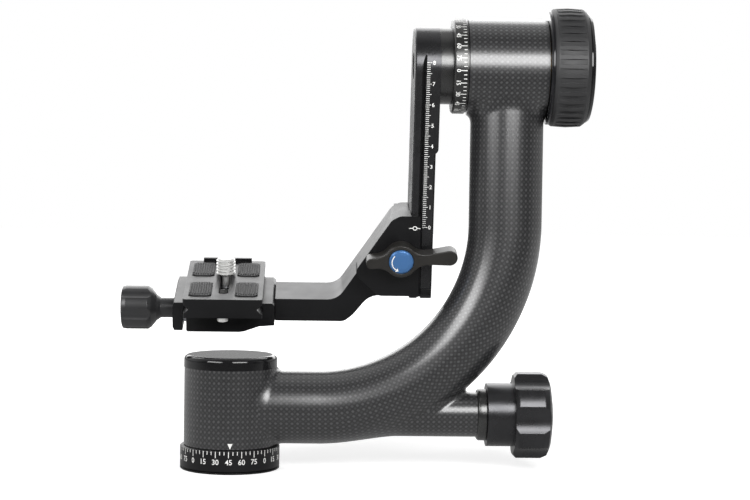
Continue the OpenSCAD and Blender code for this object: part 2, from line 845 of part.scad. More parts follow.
module tilt_hub() {
    color(anodised) in_arm() ring_x(hub_r, shaft_r, hub_x0, ring_x0);
}

// Ring with a relief beside the cross tube
module tilt_dial_ring() {
    ring_relief_w = 0.9;
    color(anodised) in_arm() turned_x() polygon([
        [shaft_r, ring_x0],
        [tilt_ring_r - ring_chamfer, ring_x0],
        [tilt_ring_r, ring_x0 + ring_chamfer],
        [tilt_ring_r, ring_x1 - ring_relief_w],
        [tilt_ring_r - ring_chamfer, ring_x1 - ring_relief_w],
        [tilt_ring_r - ring_chamfer, ring_x1],
        [shaft_r, ring_x1]
    ]);
}

// Shaft with a spigot in the rail's head and a threaded end for the tilt knob
module tilt_shaft() {
    color(steel) in_arm() difference() {
        union() {
            rod_x(shaft_spigot_r, web_x + web_t, hub_x0);
            rod_x(shaft_r, hub_x0, cross_x1);
            rod_x(shaft_end_r, cross_x1, shaft_end_x);
        }
        rod_x(arm_screw_r, web_x, web_x + web_t + arm_screw_reach);
        rod_x(end_screw_r, shaft_end_x - end_screw_reach, shaft_end_x + over);
    }
}

// Socket screw in the head's recess
module arm_screw() {
    socket_r_share = 0.5;
    color(steel) in_arm() difference() {
        union() {
            rod_x(arm_screw_head_r, web_x - arm_screw_head_h, web_x);
            rod_x(arm_screw_r, web_x, web_x + web_t + arm_screw_reach - over);
        }
        translate([web_x - arm_screw_head_h - over, 0, 0]) rotate([0, 90, 0])
            cylinder(r = arm_screw_head_r * socket_r_share, h = arm_screw_head_h / 2 + over, $fn = 6);
    }
}

// Stop across the rail's front edge at its lower end, clear of the jaw
module rail_stop() {
    stop_h = 2.4;
    stop_t = 1.2;
    color(anodised) in_arm() slab(hook_x1 + 2 * face_gap, rail_x1 - face_gap, -rail_half_w - stop_t,
        -rail_half_w, rail_end_down - 2 * stop_h, rail_end_down - stop_h);
}

// Core with the polished flange, a recess for the pressure plate and a bore for the retainer
module tilt_knob_core() {
    color(anodised) in_arm() difference() {
        turned_x() polygon([
            [0, flange_x0],
            [flange_r - flange_bevel, flange_x0],
            [flange_r, flange_x0 + flange_bevel],
            [flange_r, flange_x1],
            [core_r, flange_x1],
            [core_r, grip_x1],
            [0, grip_x1]
        ]);
        rod_x(core_recess_r, flange_x0 - over, core_recess_x1);
        rod_x(shaft_end_r + thread_gap, flange_x0 - over, grip_x1);
        rod_x(end_bore_r, end_bore_x, grip_x1 + over);
    }
}

// Crowned rubber ring with lens-shaped grooves
module tilt_knob_grip() {
    mid_x = (flange_x1 + grip_x1) / 2;
    color(rubber) in_arm() difference() {
        turned_x() polygon([
            [core_r, flange_x1],
            [grip_r - grip_edge, flange_x1],
            [grip_r - grip_edge / 4, flange_x1 + grip_edge],
            [grip_r, mid_x],
            [grip_r - grip_edge / 4, grip_x1 - grip_edge],
            [grip_r - grip_edge, grip_x1],
            [core_r, grip_x1]
        ]);
        for (i = [0 : grip_grooves - 1])
            rotate([i * 360 / grip_grooves, 0, 0])
                translate([mid_x, -groove_cut_t / 2, grip_r + groove_cut_r - groove_cut_depth])
                    rotate([-90, 0, 0]) cylinder(r = groove_cut_r, h = groove_cut_t);
    }
}

// End cap with a rounded rim
module tilt_knob_cap() {
    color(anodised) in_arm() turned_x() polygon([
        [0, grip_x1],
        [end_cap_r, grip_x1],
        [end_cap_r, grip_x1 + end_cap_h / 3],
        [end_cap_r - end_cap_h / 3, grip_x1 + end_cap_h * 5 / 6],
        [end_cap_r - end_cap_h, grip_x1 + end_cap_h],
        [0, grip_x1 + end_cap_h]
    ]);
}

module tilt_pressure_plate() {
    color(steel) in_arm()
        ring_x(pressure_r, shaft_end_r + thread_gap, pressure_x0, pressure_x0 + pressure_t);
}

module tilt_friction_washer() {
    color(bronze) in_arm() ring_x(friction_r, shaft_r + slide_gap, washer_x0, washer_x0 + friction_t);
}

// Screw and washer that keep the knob on the shaft
module tilt_end_screw() {
    color(steel) in_arm() union() {
        rod_x(end_screw_r, shaft_end_x - end_screw_reach + over, end_washer_x);
        rod_x(end_washer_r, end_washer_x, end_washer_x + end_washer_t);
        translate([end_washer_x + end_washer_t, 0, 0]) rod_x(end_screw_head_r, 0, end_screw_head_h);
        rod_x(shaft_end_r - over, shaft_end_x, end_washer_x);
    }
}

// Side outline of the bracket: block beside the rail, sloping web and level arm
module bracket_outline() {
    rounded(outer_round, inner_round) polygon([
        [clamp_x1 - inner_round, -arm_top_down],
        [web_foot_x, -arm_top_down],
        [block_left_x - crown_run * web_run_share, -block_top_down - crown_run * web_rise_share],
        [block_left_x + crown_run, -block_top_down],
        [bracket_x1 + inner_round, -block_top_down],
        [bracket_x1 + inner_round, -block_end_down],
        [block_foot_x, -block_end_down],
        [block_foot_x - block_foot_run * (1 - corner_share),
            -arm_end_down + (arm_end_down - block_end_down) * corner_share],
        [block_foot_x - block_foot_run - corner_run, -arm_end_down],
        [clamp_x1 - inner_round, -arm_end_down]
    ]);
}

// Side outline of the front jaw, which follows the bracket's web
module jaw_outline(grow = 0) {
    offset(delta = grow) rounded(jaw_round, 0) polygon([
        [jaw_left_x - (stud_down + inner_round - jaw_top_down) / web_slope, -stud_down - inner_round],
        [jaw_left_x - crown_run * web_run_share, -jaw_top_down - crown_run * web_rise_share],
        [jaw_left_x + crown_run, -jaw_top_down],
        [bracket_x1 + jaw_round, -jaw_top_down],
        [bracket_x1 + jaw_round, -jaw_end_down],
        [block_foot_x + jaw_round, -jaw_end_down]
    ]);
}

// Bracket: outline cut off at the rail, with the jaw's pocket, the rear hook and a tongue
module platform_bracket() {
    color(anodised) in_arm() difference() {
        union() {
            intersection() {
                in_depth(-arm_half_d, arm_half_d) bracket_outline();
                slab(clamp_x1 + slide_gap, bracket_x1, -arm_half_d - over, arm_half_d + over,
                    jaw_top_down, clamp_end_down);
            }
            rear_hook();
            slab(tongue_x0, clamp_x1 + outer_round, -arm_half_d + over, arm_half_d - over,
                tongue_down, arm_end_down);
        }
        in_depth(-arm_half_d - over, jaw_y0) jaw_outline(slide_gap);
        in_depth_bore(stud_r, jaw_y0 - over, stud_back_y);
        tongue_screw_places() translate([0, 0, -arm_end_down - over])
            cylinder(r = tongue_screw_r, h = arm_end_down - tongue_down + over);
    }
}

// Round bore along Y at the stud's place
module in_depth_bore(r, y0, y1) {
    translate([stud_x, y1, -stud_down]) rotate([90, 0, 0]) cylinder(r = r, h = y1 - y0);
}

// Fixed hook behind the rail
module rear_hook() {
    slab(rear_hook_x0, bracket_x1, arm_half_d - over, hook_y + hook_t, rear_hook_top_down, block_end_down);
    translate([0, 0, -block_end_down]) linear_extrude(block_end_down - rear_hook_top_down)
        hook_section(1);
}

// Hook round one edge of the rail, with the lip that fits its groove
module hook_section(side) {
    polygon([
        [bracket_x1 - over, side * hook_y],
        [rail_x0 + groove_in + slide_gap, side * hook_y],
        [rail_x0 + groove_in + slide_gap + (hook_y - lip_y) * 2 / 3, side * lip_y],
        [hook_x1, side * lip_y],
        [hook_x1, side * (hook_y + hook_t)],
        [bracket_x1 - over, side * (hook_y + hook_t)]
    ]);
}

// Front jaw: a plate with a hook at the rail and a clear hole for the stud
module rail_jaw() {
    color(anodised) in_arm() difference() {
        union() {
            intersection() {
                in_depth(jaw_front_y, jaw_y0 - slide_gap) jaw_outline();
                slab(web_foot_x, bracket_x1, jaw_front_y, jaw_y0, jaw_top_down, jaw_end_down);
            }
            translate([0, 0, -jaw_end_down]) linear_extrude(jaw_end_down - jaw_top_down)
                polygon([
                    [bracket_x1 - over, jaw_front_y],
                    [hook_x1 - jaw_rim, jaw_front_y],
                    [hook_x1, jaw_front_y + jaw_rim],
                    [hook_x1, -lip_y],
                    [rail_x0 + groove_in + slide_gap + (hook_y - lip_y) * 2 / 3, -lip_y],
                    [rail_x0 + groove_in + slide_gap, -hook_y],
                    [bracket_x1 - over, -hook_y]
                ]);
        }
        in_depth_bore(stud_r + slide_gap, jaw_front_y - over, jaw_y0 + over);
    }
}

module lever_stud() {
    color(steel) in_arm() in_depth_bore(stud_r, lever_y0 + lever_cap_seat + over, stud_back_y);
}

// Outline of the two-wing lever about its stud
module lever_outline() {
    waist_x = lever_long * lever_waist_share;
    rounded(lever_short_tip_r / 4, lever_hub_r) union() {
        circle(r = lever_hub_r);
        hull() {
            translate([lever_long, 0]) circle(r = lever_tip_r, $fn = 32);
            translate([waist_x, 0]) circle(r = lever_waist_r, $fn = 32);
        }
        translate([0, -lever_waist_r]) square([waist_x, 2 * lever_waist_r]);
        hull() {
            translate([-lever_short, 0]) circle(r = lever_short_tip_r, $fn = 32);
            circle(r = lever_waist_r, $fn = 32);
        }
    }
}

// Lever with a threaded bore and a seat for its cap
module height_lever() {
    color(anodised) in_arm() translate([stud_x, lever_y1, -stud_down]) rotate([90, 0, 0])
        rotate([0, 0, lever_lean]) difference() {
            linear_extrude(lever_t) lever_outline();
            translate([0, 0, -over]) cylinder(r = lever_bore_r, h = lever_t - lever_cap_seat + over);
            translate([0, 0, lever_t - lever_cap_seat])
                cylinder(r = lever_cap_r, h = lever_cap_seat + over);
        }
}

// Domed cap in the lever's hub
module lever_cap() {
    dome_shares = [[0.9, 0.8], [0.6, 1]];
    color(blue) in_arm() translate([stud_x, lever_y0 + lever_cap_seat, -stud_down]) rotate([90, 0, 0])
        rotate_extrude() polygon([
            [0, 0],
            [lever_cap_r, 0],
            [lever_cap_r, lever_cap_seat],
            for (s = dome_shares) [lever_cap_r * s[0], lever_cap_h * s[1]],
            [0, lever_cap_h]
        ]);
}

// Places of the screws that hold the clamp to the bracket's tongue
module tongue_screw_places() {
    for (s = [-1, 1]) translate([tongue_screw_x, s * tongue_screw_y, 0]) children();
}

// Clamp body: the fixed jaw, the floor under the plate and the underside
module clamp_base() {
    flank_x = plate_x + plate_w / 2 + slide_gap;
    flank_down = plate_bottom_down - plate_foot_edge;
    color(anodised) in_arm() difference() {
        in_depth(-clamp_half_d, clamp_half_d) polygon([
            [clamp_x0, -floor_down],
            [flank_x, -floor_down],
            [flank_x, -flank_down],
            [flank_x - (flank_down - arm_top_down), -arm_top_down],
            [clamp_x1 - clamp_chamfer, -arm_top_down],
            [clamp_x1, -arm_top_down - clamp_chamfer],
            [clamp_x1, -arm_end_down],
            [clamp_x1 - clamp_h / 2, -arm_end_down - clamp_chamfer / 2],
            [clamp_x1 - clamp_h, -clamp_end_down + clamp_chamfer / 4],
            [clamp_x1 - clamp_h - clamp_chamfer * 2, -clamp_end_down],
            [clamp_x0 + clamp_chamfer / 2, -clamp_end_down],
            [clamp_x0, -clamp_end_down + clamp_chamfer / 2]
        ]);
        slab(tongue_x0 - slide_gap, clamp_x1 + over, -arm_half_d + over - slide_gap,
            arm_half_d - over + slide_gap, tongue_down - slide_gap, arm_end_down);
        translate([0, 0, -clamp_axis_down]) {
            rod_x(clamp_screw_r + thread_gap, clamp_x0 - over, moving_x0 + clamp_screw_reach + over);
            for (s = [-1, 1]) translate([0, s * pin_y, 0])
                rod_x(pin_r + thread_gap, clamp_x0 - over, moving_x0 + pin_reach + over);
        }
        tongue_screw_places() {
            translate([0, 0, -clamp_end_down - over]) {
                cylinder(r = tongue_screw_r, h = clamp_end_down - arm_end_down + 2 * over);
                cylinder(r = tongue_screw_head_r,
                    h = clamp_end_down - arm_end_down - tongue_screw_head_h + over);
            }
        }
    }
}

module clamp_screws() {
    color(steel) in_arm() tongue_screw_places() {
        translate([0, 0, -arm_end_down - tongue_screw_head_h])
            cylinder(r = tongue_screw_r, h = arm_end_down - tongue_down - over + tongue_screw_head_h);
        translate([0, 0, -arm_end_down - 2 * tongue_screw_head_h])
            cylinder(r = tongue_screw_head_r, h = tongue_screw_head_h);
    }
}

// Moving jaw over the plate's left edge
module clamp_jaw() {
    flank_x = plate_x - plate_w / 2 - slide_gap;
    flank_down = plate_bottom_down - plate_foot_edge;
    lean = moving_jaw_w / 6;
    color(anodised) in_arm() difference() {
        in_depth(-clamp_half_d, clamp_half_d) polygon([
            [flank_x, -flank_down],
            [flank_x + flank_down - arm_top_down, -arm_top_down],
            [moving_x0 + lean, -arm_top_down],
            [moving_x0, -arm_top_down - clamp_chamfer * 2],
            [moving_x0, -clamp_end_down + clamp_chamfer * 2],
            [moving_x0 + lean, -clamp_end_down + clamp_chamfer / 2],
            [moving_x1, -clamp_end_down + clamp_chamfer / 2],
            [moving_x1, -floor_down],
            [flank_x, -floor_down]
        ]);
        translate([0, 0, -clamp_axis_down]) {
            rod_x(clamp_screw_r + thread_gap, moving_x0 - over, moving_x1 + over);
            for (s = [-1, 1]) translate([0, s * pin_y, 0])
                rod_x(pin_r, moving_x1 - moving_jaw_w / 2, moving_x1 + over);
        }
    }
}

module jaw_pins() {
    color(steel) in_arm() translate([0, 0, -clamp_axis_down])
        for (s = [-1, 1]) translate([0, s * pin_y, 0])
            rod_x(pin_r, moving_x1 - moving_jaw_w / 2, moving_x0 + pin_reach);
}

module clamp_screw() {
    color(steel) in_arm() translate([0, 0, -clamp_axis_down])
        rod_x(clamp_screw_r, clamp_head_x1, moving_x0 + clamp_screw_reach);
}

// Small knob with a tapered neck and a lobed head
module clamp_knob() {
    edge = 1.2;
    taper_share = 0.44;
    shoulder_share = 0.26;
    shoulder_flare = 1.5;
    hollow_depth = 1.2;
    taper = clamp_neck_len * taper_share;
    color(anodised) in_arm() translate([0, 0, -clamp_axis_down]) difference() {
        intersection() {
            turned_x() polygon([
                [0, clamp_head_x0],
                [clamp_knob_r - 2 * edge, clamp_head_x0],
                [clamp_knob_r - edge / 3, clamp_head_x0 + edge / 2],
                [clamp_knob_r, clamp_head_x0 + 2 * edge],
                [clamp_knob_r, clamp_head_x1 - edge],
                [clamp_knob_r - edge, clamp_head_x1 + edge / 2],
                [clamp_neck_r + shoulder_flare, clamp_head_x1 + clamp_neck_len * shoulder_share],
                [clamp_neck_r, clamp_head_x1 + taper],
                [clamp_neck_r, clamp_knob_x1],
                [0, clamp_knob_x1]
            ]);
            translate([clamp_head_x0, 0, 0]) rotate([0, 90, 0])
                linear_extrude(clamp_knob_x1 - clamp_head_x0)
                    lobed_outline(clamp_knob_r, clamp_lobes, clamp_knob_r / 2, hollow_depth);
        }
        rod_x(clamp_screw_r, clamp_head_x1, clamp_knob_x1 + over);
    }
}

// Dovetail outline of the plate: X across and height
module plate_section() {
    points = [
        [plate_w / 2, -plate_down],
        [plate_w / 2, -plate_down - plate_top_edge],
        [plate_waist / 2, -plate_waist_down],
        [plate_w / 2, -plate_bottom_down + plate_foot_edge],
        [plate_w / 2, -plate_bottom_down]
    ];
    translate([plate_x, 0]) polygon(concat(points, [for (i = [4 : -1 : 0]) [-points[i][0], points[i][1]]]));
}

// Plate with the slot, its entry, the channel underneath, pad seats and the rear lip
module quick_plate() {
    color(anodised) in_arm() difference() {
        union() {
            intersection() {
                in_depth(-plate_len / 2, plate_len / 2) plate_section();
                translate([plate_x, 0, -plate_bottom_down]) linear_extrude(plate_t)
                    rounded(plate_corner_r, 0) square([plate_w, plate_len], center = true);
            }
            slab(plate_x - lip_len / 2, plate_x + lip_len / 2, plate_len / 2 - lip_t, plate_len / 2,
                plate_down - lip_h, plate_down + over);
        }
        plate_slot();
        slab(plate_x - channel_w / 2, plate_x + channel_w / 2, -channel_front, channel_back,
            plate_bottom_down - channel_h, plate_bottom_down + over);
        pad_places() slab(-pad_w / 2, pad_w / 2, -pad_len / 2, pad_len / 2,
            plate_down - over, plate_down + pad_seat);
        for (s = [-1, 1]) translate([plate_x, s * stop_y, -plate_bottom_down - over])
            cylinder(r = stop_screw_r, h = plate_t / 2 + over);
    }
}

// Slot for the camera screw with a wider entry
module plate_slot() {
    translate([plate_x, 0, -plate_bottom_down]) {
        linear_extrude(plate_t + over) hull() {
            translate([0, -slot_front + slot_w / 2]) circle(r = slot_w / 2, $fn = 32);
            translate([0, slot_back - slot_w / 2]) circle(r = slot_w / 2, $fn = 32);
        }
        translate([0, camera_screw_y, 0]) cylinder(r = entry_r, h = plate_t + over);
    }
}

// Places of the four pads
module pad_places() {
    for (sx = [-1, 1], sy = [-1, 1]) translate([plate_x + sx * pad_x, sy * pad_y, 0]) children();
}

// Four pads, each with ribs along its length
module plate_pads() {
    pitch = pad_w / pad_ribs;
    color(rubber) in_arm() pad_places() {
        slab(-pad_w / 2, pad_w / 2, -pad_len / 2, pad_len / 2,
            plate_down - pad_rise, plate_down + pad_seat);
        for (i = [0 : pad_ribs - 1])
            translate([(i + 1 / 2) * pitch - pad_w / 2, 0, 0])
                slab(-rib_share * pitch / 2, rib_share * pitch / 2, pad_rise - pad_len / 2,
                    pad_len / 2 - pad_rise, plate_down - pad_rise - rib_rise, plate_down);
    }
}

// Two stop screws under the plate's ends
module plate_stop_screws() {
    color(steel) in_arm() for (s = [-1, 1]) translate([plate_x, s * stop_y, -plate_bottom_down]) {
        cylinder(r = stop_screw_r, h = plate_t / 2 - over);
        translate([0, 0, -stop_head_h]) cylinder(r = stop_head_r, h = stop_head_h);
    }
}

// Depths of the camera screw's parts
screw_neck_down = plate_down - over;
screw_top_down = screw_neck_down - camera_screw_len;
slider_down = plate_bottom_down - channel_h + thread_gap;

module screw_washer() {
    color(steel) in_arm() translate([plate_x, camera_screw_y, -slider_down - slider_t])
        difference() {
            cylinder(r = slider_r, h = slider_t);
            translate([0, 0, -over]) cylinder(r = neck_r + thread_gap, h = slider_t + 2 * over);
        }
}

// Camera screw: thread, narrow neck through the slot and a coin-slotted head
module camera_screw() {
    point = 1;
    head_down = slider_down + slider_t + thread_gap;
    color(steel) in_arm() translate([plate_x, camera_screw_y, 0]) difference() {
        union() {
            translate([0, 0, -screw_neck_down]) cylinder(r = camera_screw_r, h = camera_screw_len - point);
            translate([0, 0, -screw_top_down - point])
                cylinder(r1 = camera_screw_r, r2 = camera_screw_r - point, h = point);
            translate([0, 0, -head_down]) cylinder(r = neck_r, h = head_down - screw_neck_down);
            translate([0, 0, -head_down - screw_head_h]) cylinder(r = screw_head_r, h = screw_head_h);
        }
        translate([-screw_head_r - over, -coin_slot_w / 2, -head_down - screw_head_h - over])
            cube([2 * (screw_head_r + over), coin_slot_w, coin_slot_h + over]);
    }
}

base_plate();
pan_dial_ring();
pan_spindle();
brake_drum();
spindle_washer();
spindle_nut();
base_screws();
yoke_tube();
pan_sleeve();
pan_bearing_lower();
pan_bearing_upper();
pan_cap();
lock_collar();
rod_guide();
tilt_sleeve();
tilt_bearing_left();
tilt_bearing_right();
pan_lock_knob();
pan_lock_screw();
pan_push_rod();
pan_brake_shoe();
swing_rail();
tilt_hub();
tilt_dial_ring();
tilt_shaft();
arm_screw();
rail_stop();
tilt_knob_core();
tilt_knob_grip();
tilt_knob_cap();
tilt_pressure_plate();
tilt_friction_washer();
tilt_end_screw();
platform_bracket();
rail_jaw();
lever_stud();
height_lever();
lever_cap();
clamp_base();
clamp_screws();
clamp_jaw();
jaw_pins();
clamp_screw();
clamp_knob();
quick_plate();
plate_pads();
plate_stop_screws();
screw_washer();
camera_screw();
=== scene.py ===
"""Looks of a gimbal tripod head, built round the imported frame.

The carbon yoke is rebuilt as one moulded shell, the dials, scales and index marks are
printed on their parts, and every machined or moulded part gets its own finish.
"""
import logging
import math
from dataclasses import dataclass
from enum import Enum
from typing import Any

import bmesh
import bpy
import numpy as np
from mathutils import Matrix, Vector
from mathutils.bvhtree import BVHTree


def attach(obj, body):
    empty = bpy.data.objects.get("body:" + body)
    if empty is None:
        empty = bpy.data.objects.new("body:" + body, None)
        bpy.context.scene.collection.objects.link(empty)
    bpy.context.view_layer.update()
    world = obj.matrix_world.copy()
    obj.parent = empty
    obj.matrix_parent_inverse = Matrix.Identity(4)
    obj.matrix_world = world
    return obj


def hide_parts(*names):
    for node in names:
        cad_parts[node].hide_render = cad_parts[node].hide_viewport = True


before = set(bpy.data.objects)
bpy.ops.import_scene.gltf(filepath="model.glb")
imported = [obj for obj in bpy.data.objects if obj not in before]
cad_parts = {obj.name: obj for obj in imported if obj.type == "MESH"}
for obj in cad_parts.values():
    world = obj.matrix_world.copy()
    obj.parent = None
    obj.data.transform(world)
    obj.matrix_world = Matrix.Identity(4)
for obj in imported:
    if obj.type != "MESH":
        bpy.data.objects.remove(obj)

LOG = logging.getLogger("gimbal_head")
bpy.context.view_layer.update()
MM = 0.001
# Points closer than this are one point, in metres
MERGE = MM / 500
# Height of the tilt axis in millimetres
TILT_Z = 192.7
Span = tuple[float, float]
Triple = tuple[float, float, float]
Shape = tuple[np.ndarray, list[list[int]]]
Tree, Object = bpy.types.NodeTree, bpy.types.Object

# Names of the node kinds that are used most
MATH = "ShaderNodeMath"
MIX = "ShaderNodeMix"
RANGE = "ShaderNodeMapRange"
NOISE = "ShaderNodeTexNoise"
VECTOR = "ShaderNodeCombineXYZ"
PARTS = "ShaderNodeSeparateXYZ"
MOVE = "GeometryNodeTransform"
COPIES = "GeometryNodeInstanceOnPoints"
GRID = "GeometryNodeMeshGrid"


class Slot(Enum):
    """The record's material slots, one named with each new piece."""

    BLACK = "anodised_black"
    CARBON = "carbon_fibre"
    RUBBER = "rubber"
    STEEL = "bare_steel"
    BLUE = "blue_anodised"


class Body(Enum):
    """The frame's bodies that carry a new piece."""

    BASE = "base"
    YOKE = "yoke"
    ARM = "swing_arm"
    FRONT_JAW = "front_jaw"
    LEVER = "lever"
    BRACKET = "bracket"
    MOVING_JAW = "moving_jaw"
    PAN_KNOB = "pan_knob"
    PLATE = "plate"
    SCREW = "camera_stud"


# Shared helpers


def linear(colour: str) -> tuple[float, float, float, float]:
    """Turns an sRGB hex colour into linear RGBA.

    Args:
        colour: A colour such as "#1c1c1f".

    Returns:
        The linear red, green, blue and an alpha of one.
    """
    shares = [int(colour[i : i + 2], 16) / 255 for i in (1, 3, 5)]
    r, g, b = (c / 12.92 if c <= 0.04045 else ((c + 0.055) / 1.055) ** 2.4 for c in shares)
    return (r, g, b, 1.0)


def add(tree: Tree, kind: str, inputs: dict | None = None, **settings: Any) -> Any:
    """Adds a node with its settings, values and links.

    Args:
        tree: The node tree that gets the node.
        kind: The node's type name.
        inputs: Input name or place, against a value, an output that feeds it, or a node whose
            first output does.
        **settings: The node's own properties.

    Returns:
        The new node.
    """
    made = tree.nodes.new(kind)
    for name, value in settings.items():
        setattr(made, name, value)
    for key, value in (inputs or {}).items():
        source = value.outputs[0] if isinstance(value, bpy.types.Node) else value
        if isinstance(source, bpy.types.NodeSocket):
            tree.links.new(source, made.inputs[key])
        else:
            made.inputs[key].default_value = source
    return made


def span(value: Any, *limits: float) -> dict[str, Any]:
    """Names a Map Range node's inputs: its value, then from low and high, to low and high."""
    return {"Value": value, **dict(zip(("From Min", "From Max", "To Min", "To Max"), limits))}


def mesh_object(name: str, verts: Any, faces: Any, smooth: bool = False) -> Object:
    """Makes a linked object at the origin from vertices in millimetres.

    Args:
        name: The piece's name.
        verts: Points in millimetres.
        faces: Vertex numbers of each face.
        smooth: Whether the faces are shaded smooth.

    Returns:
        The new object.
    """
    mesh = bpy.data.meshes.new(name)
    mesh.from_pydata((np.asarray(verts, float) * MM).tolist(), [], faces)
    mesh.update()
    mesh.polygons.foreach_set("use_smooth", [smooth] * len(mesh.polygons))
    return linked(name, mesh)


def linked(name: str, data: Any) -> Object:
    """Makes an object of its data and links it to the scene.

    Args:
        name: The object's name.
        data: Its mesh, curve, camera or lamp.

    Returns:
        The new object.
    """
    made = bpy.data.objects.new(name, data)
    bpy.context.scene.collection.objects.link(made)
    return made


def settle(piece: Object) -> Object:
    """Turns a piece with live modifiers into a plain mesh without them.

    Args:
        piece: The object whose modifiers are applied.

    Returns:
        The same object.
    """
    graph = bpy.context.evaluated_depsgraph_get()
    graph.update()
    plain = bpy.data.meshes.new_from_object(piece.evaluated_get(graph), depsgraph=graph)
    piece.modifiers.clear()
    piece.data = plain
    return piece


class Rule:
    """A geometry tree with a named input for each of its sizes, and the piece that it makes."""

    def __init__(
        self, name: str, finish: Any, lengths: dict[str, float], others: dict[str, Any]
    ) -> None:
        """Starts the tree.

        Args:
            name: The tree's name.
            finish: The finish of its faces.
            lengths: The inputs in millimetres, by name.
            others: The inputs that are counts or angles, by name.
        """
        self.tree = bpy.data.node_groups.new(name, "GeometryNodeTree")
        sizes = {label: length * MM for label, length in lengths.items()}
        self.values = {**sizes, **others, "Material": finish.material()}
        face = self.tree.interface
        for label, value in self.values.items():
            kind = {int: "Int", float: "Float"}.get(type(value), "Material")
            face.new_socket(label, in_out="INPUT", socket_type=f"NodeSocket{kind}")
        face.new_socket("Geometry", in_out="OUTPUT", socket_type="NodeSocketGeometry")
        self.ask = add(self.tree, "NodeGroupInput").outputs

    def grow(self, name: str, shape: Any) -> Object:
        """Ends the tree in Realize Instances and Set Material, and keeps its plain result.

        Args:
            name: The piece's name.
            shape: The node that holds the geometry.

        Returns:
            The finished object at the origin.
        """
        real = add(self.tree, "GeometryNodeRealizeInstances", {0: shape})
        finish = {"Geometry": real, "Material": self.ask["Material"]}
        dressed = add(self.tree, "GeometryNodeSetMaterial", finish)
        add(self.tree, "NodeGroupOutput", {0: dressed})
        piece = mesh_object(name, np.zeros((0, 3)), [])
        modifier = piece.modifiers.new("rule", "NODES")
        modifier.node_group = self.tree
        for item in self.tree.interface.items_tree:
            if item.item_type == "SOCKET" and item.in_out == "INPUT":
                modifier[item.identifier] = self.values[item.name]
        return settle(piece)


def place(piece: Object, body: Body, slot: Slot, *nodes: str) -> None:
    """Rides a finished piece on its body and hides the CAD nodes that it replaces.

    Args:
        piece: The finished object.
        body: The body that carries it.
        slot: The record's material slot; not used.
        *nodes: CAD nodes that the piece stands for.
    """
    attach(piece, body.value)
    if nodes:
        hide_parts(*nodes)
    LOG.info("%s: %d faces on %s", piece.name, len(piece.data.polygons), body.value)


def turned(points: np.ndarray, frame_of: Matrix) -> np.ndarray:
    """Moves points in millimetres by a 4 by 4 matrix whose shift is in millimetres."""
    m = np.array(frame_of)
    return points @ m[:3, :3].T + m[:3, 3]


def carry(piece: Object, frame_of: Matrix) -> None:
    """Moves a mesh's points.

    Args:
        piece: The object whose mesh is moved.
        frame_of: The matrix, whose shift is in millimetres.
    """
    shifted = frame_of.copy()
    shifted.translation *= MM
    piece.data.transform(shifted)


def joined(parts: list[Shape]) -> Shape:
    """Joins several meshes into one.

    Args:
        parts: The points and faces of each.

    Returns:
        All the points and faces.
    """
    faces, start = [], 0
    for points, part_faces in parts:
        faces += [[i + start for i in face] for face in part_faces]
        start += len(points)
    return np.concatenate([points for points, _ in parts]), faces


def arm_frame(tilt_deg: float = 15.0) -> Matrix:
    """Gives the hanging arm's own frame: the tilt axis at its origin, turned by the rest tilt."""
    return Matrix.Translation((0, 0, TILT_Z)) @ Matrix.Rotation(math.radians(tilt_deg), 4, "X")


def arm_face(x: float, front: float, down: float) -> Matrix:
    """Gives the frame of a front face on the arm: x along +X, y up the arm, z outwards.

    Args:
        x: Where its origin lies along X, in millimetres.
        front: Where the face lies along the arm's Y.
        down: How far its origin lies below the tilt axis.

    Returns:
        The frame.
    """
    spot = Matrix.Translation((x, front, -down))
    return arm_frame() @ spot @ Matrix.Rotation(math.pi / 2, 4, "X")


# Finishes


@dataclass(frozen=True)
class Finish:
    """A finish, which makes its material once."""

    name: str

    def material(self) -> bpy.types.Material:
        """Builds the material once.

        Returns:
            The material.
        """
        found = bpy.data.materials.get(self.name)
        if found:
            return found
        made = bpy.data.materials.new(self.name)
        made.use_nodes = True
        tree = made.node_tree
        tree.nodes.clear()
        shader = add(tree, "ShaderNodeBsdfPrincipled", self.sockets(tree))
        add(tree, "ShaderNodeOutputMaterial", {"Surface": shader})
        return made

    def sockets(self, tree: Tree) -> dict[str, Any]:
        """Wires the patterns and returns what each socket of the shader gets."""
        raise NotImplementedError


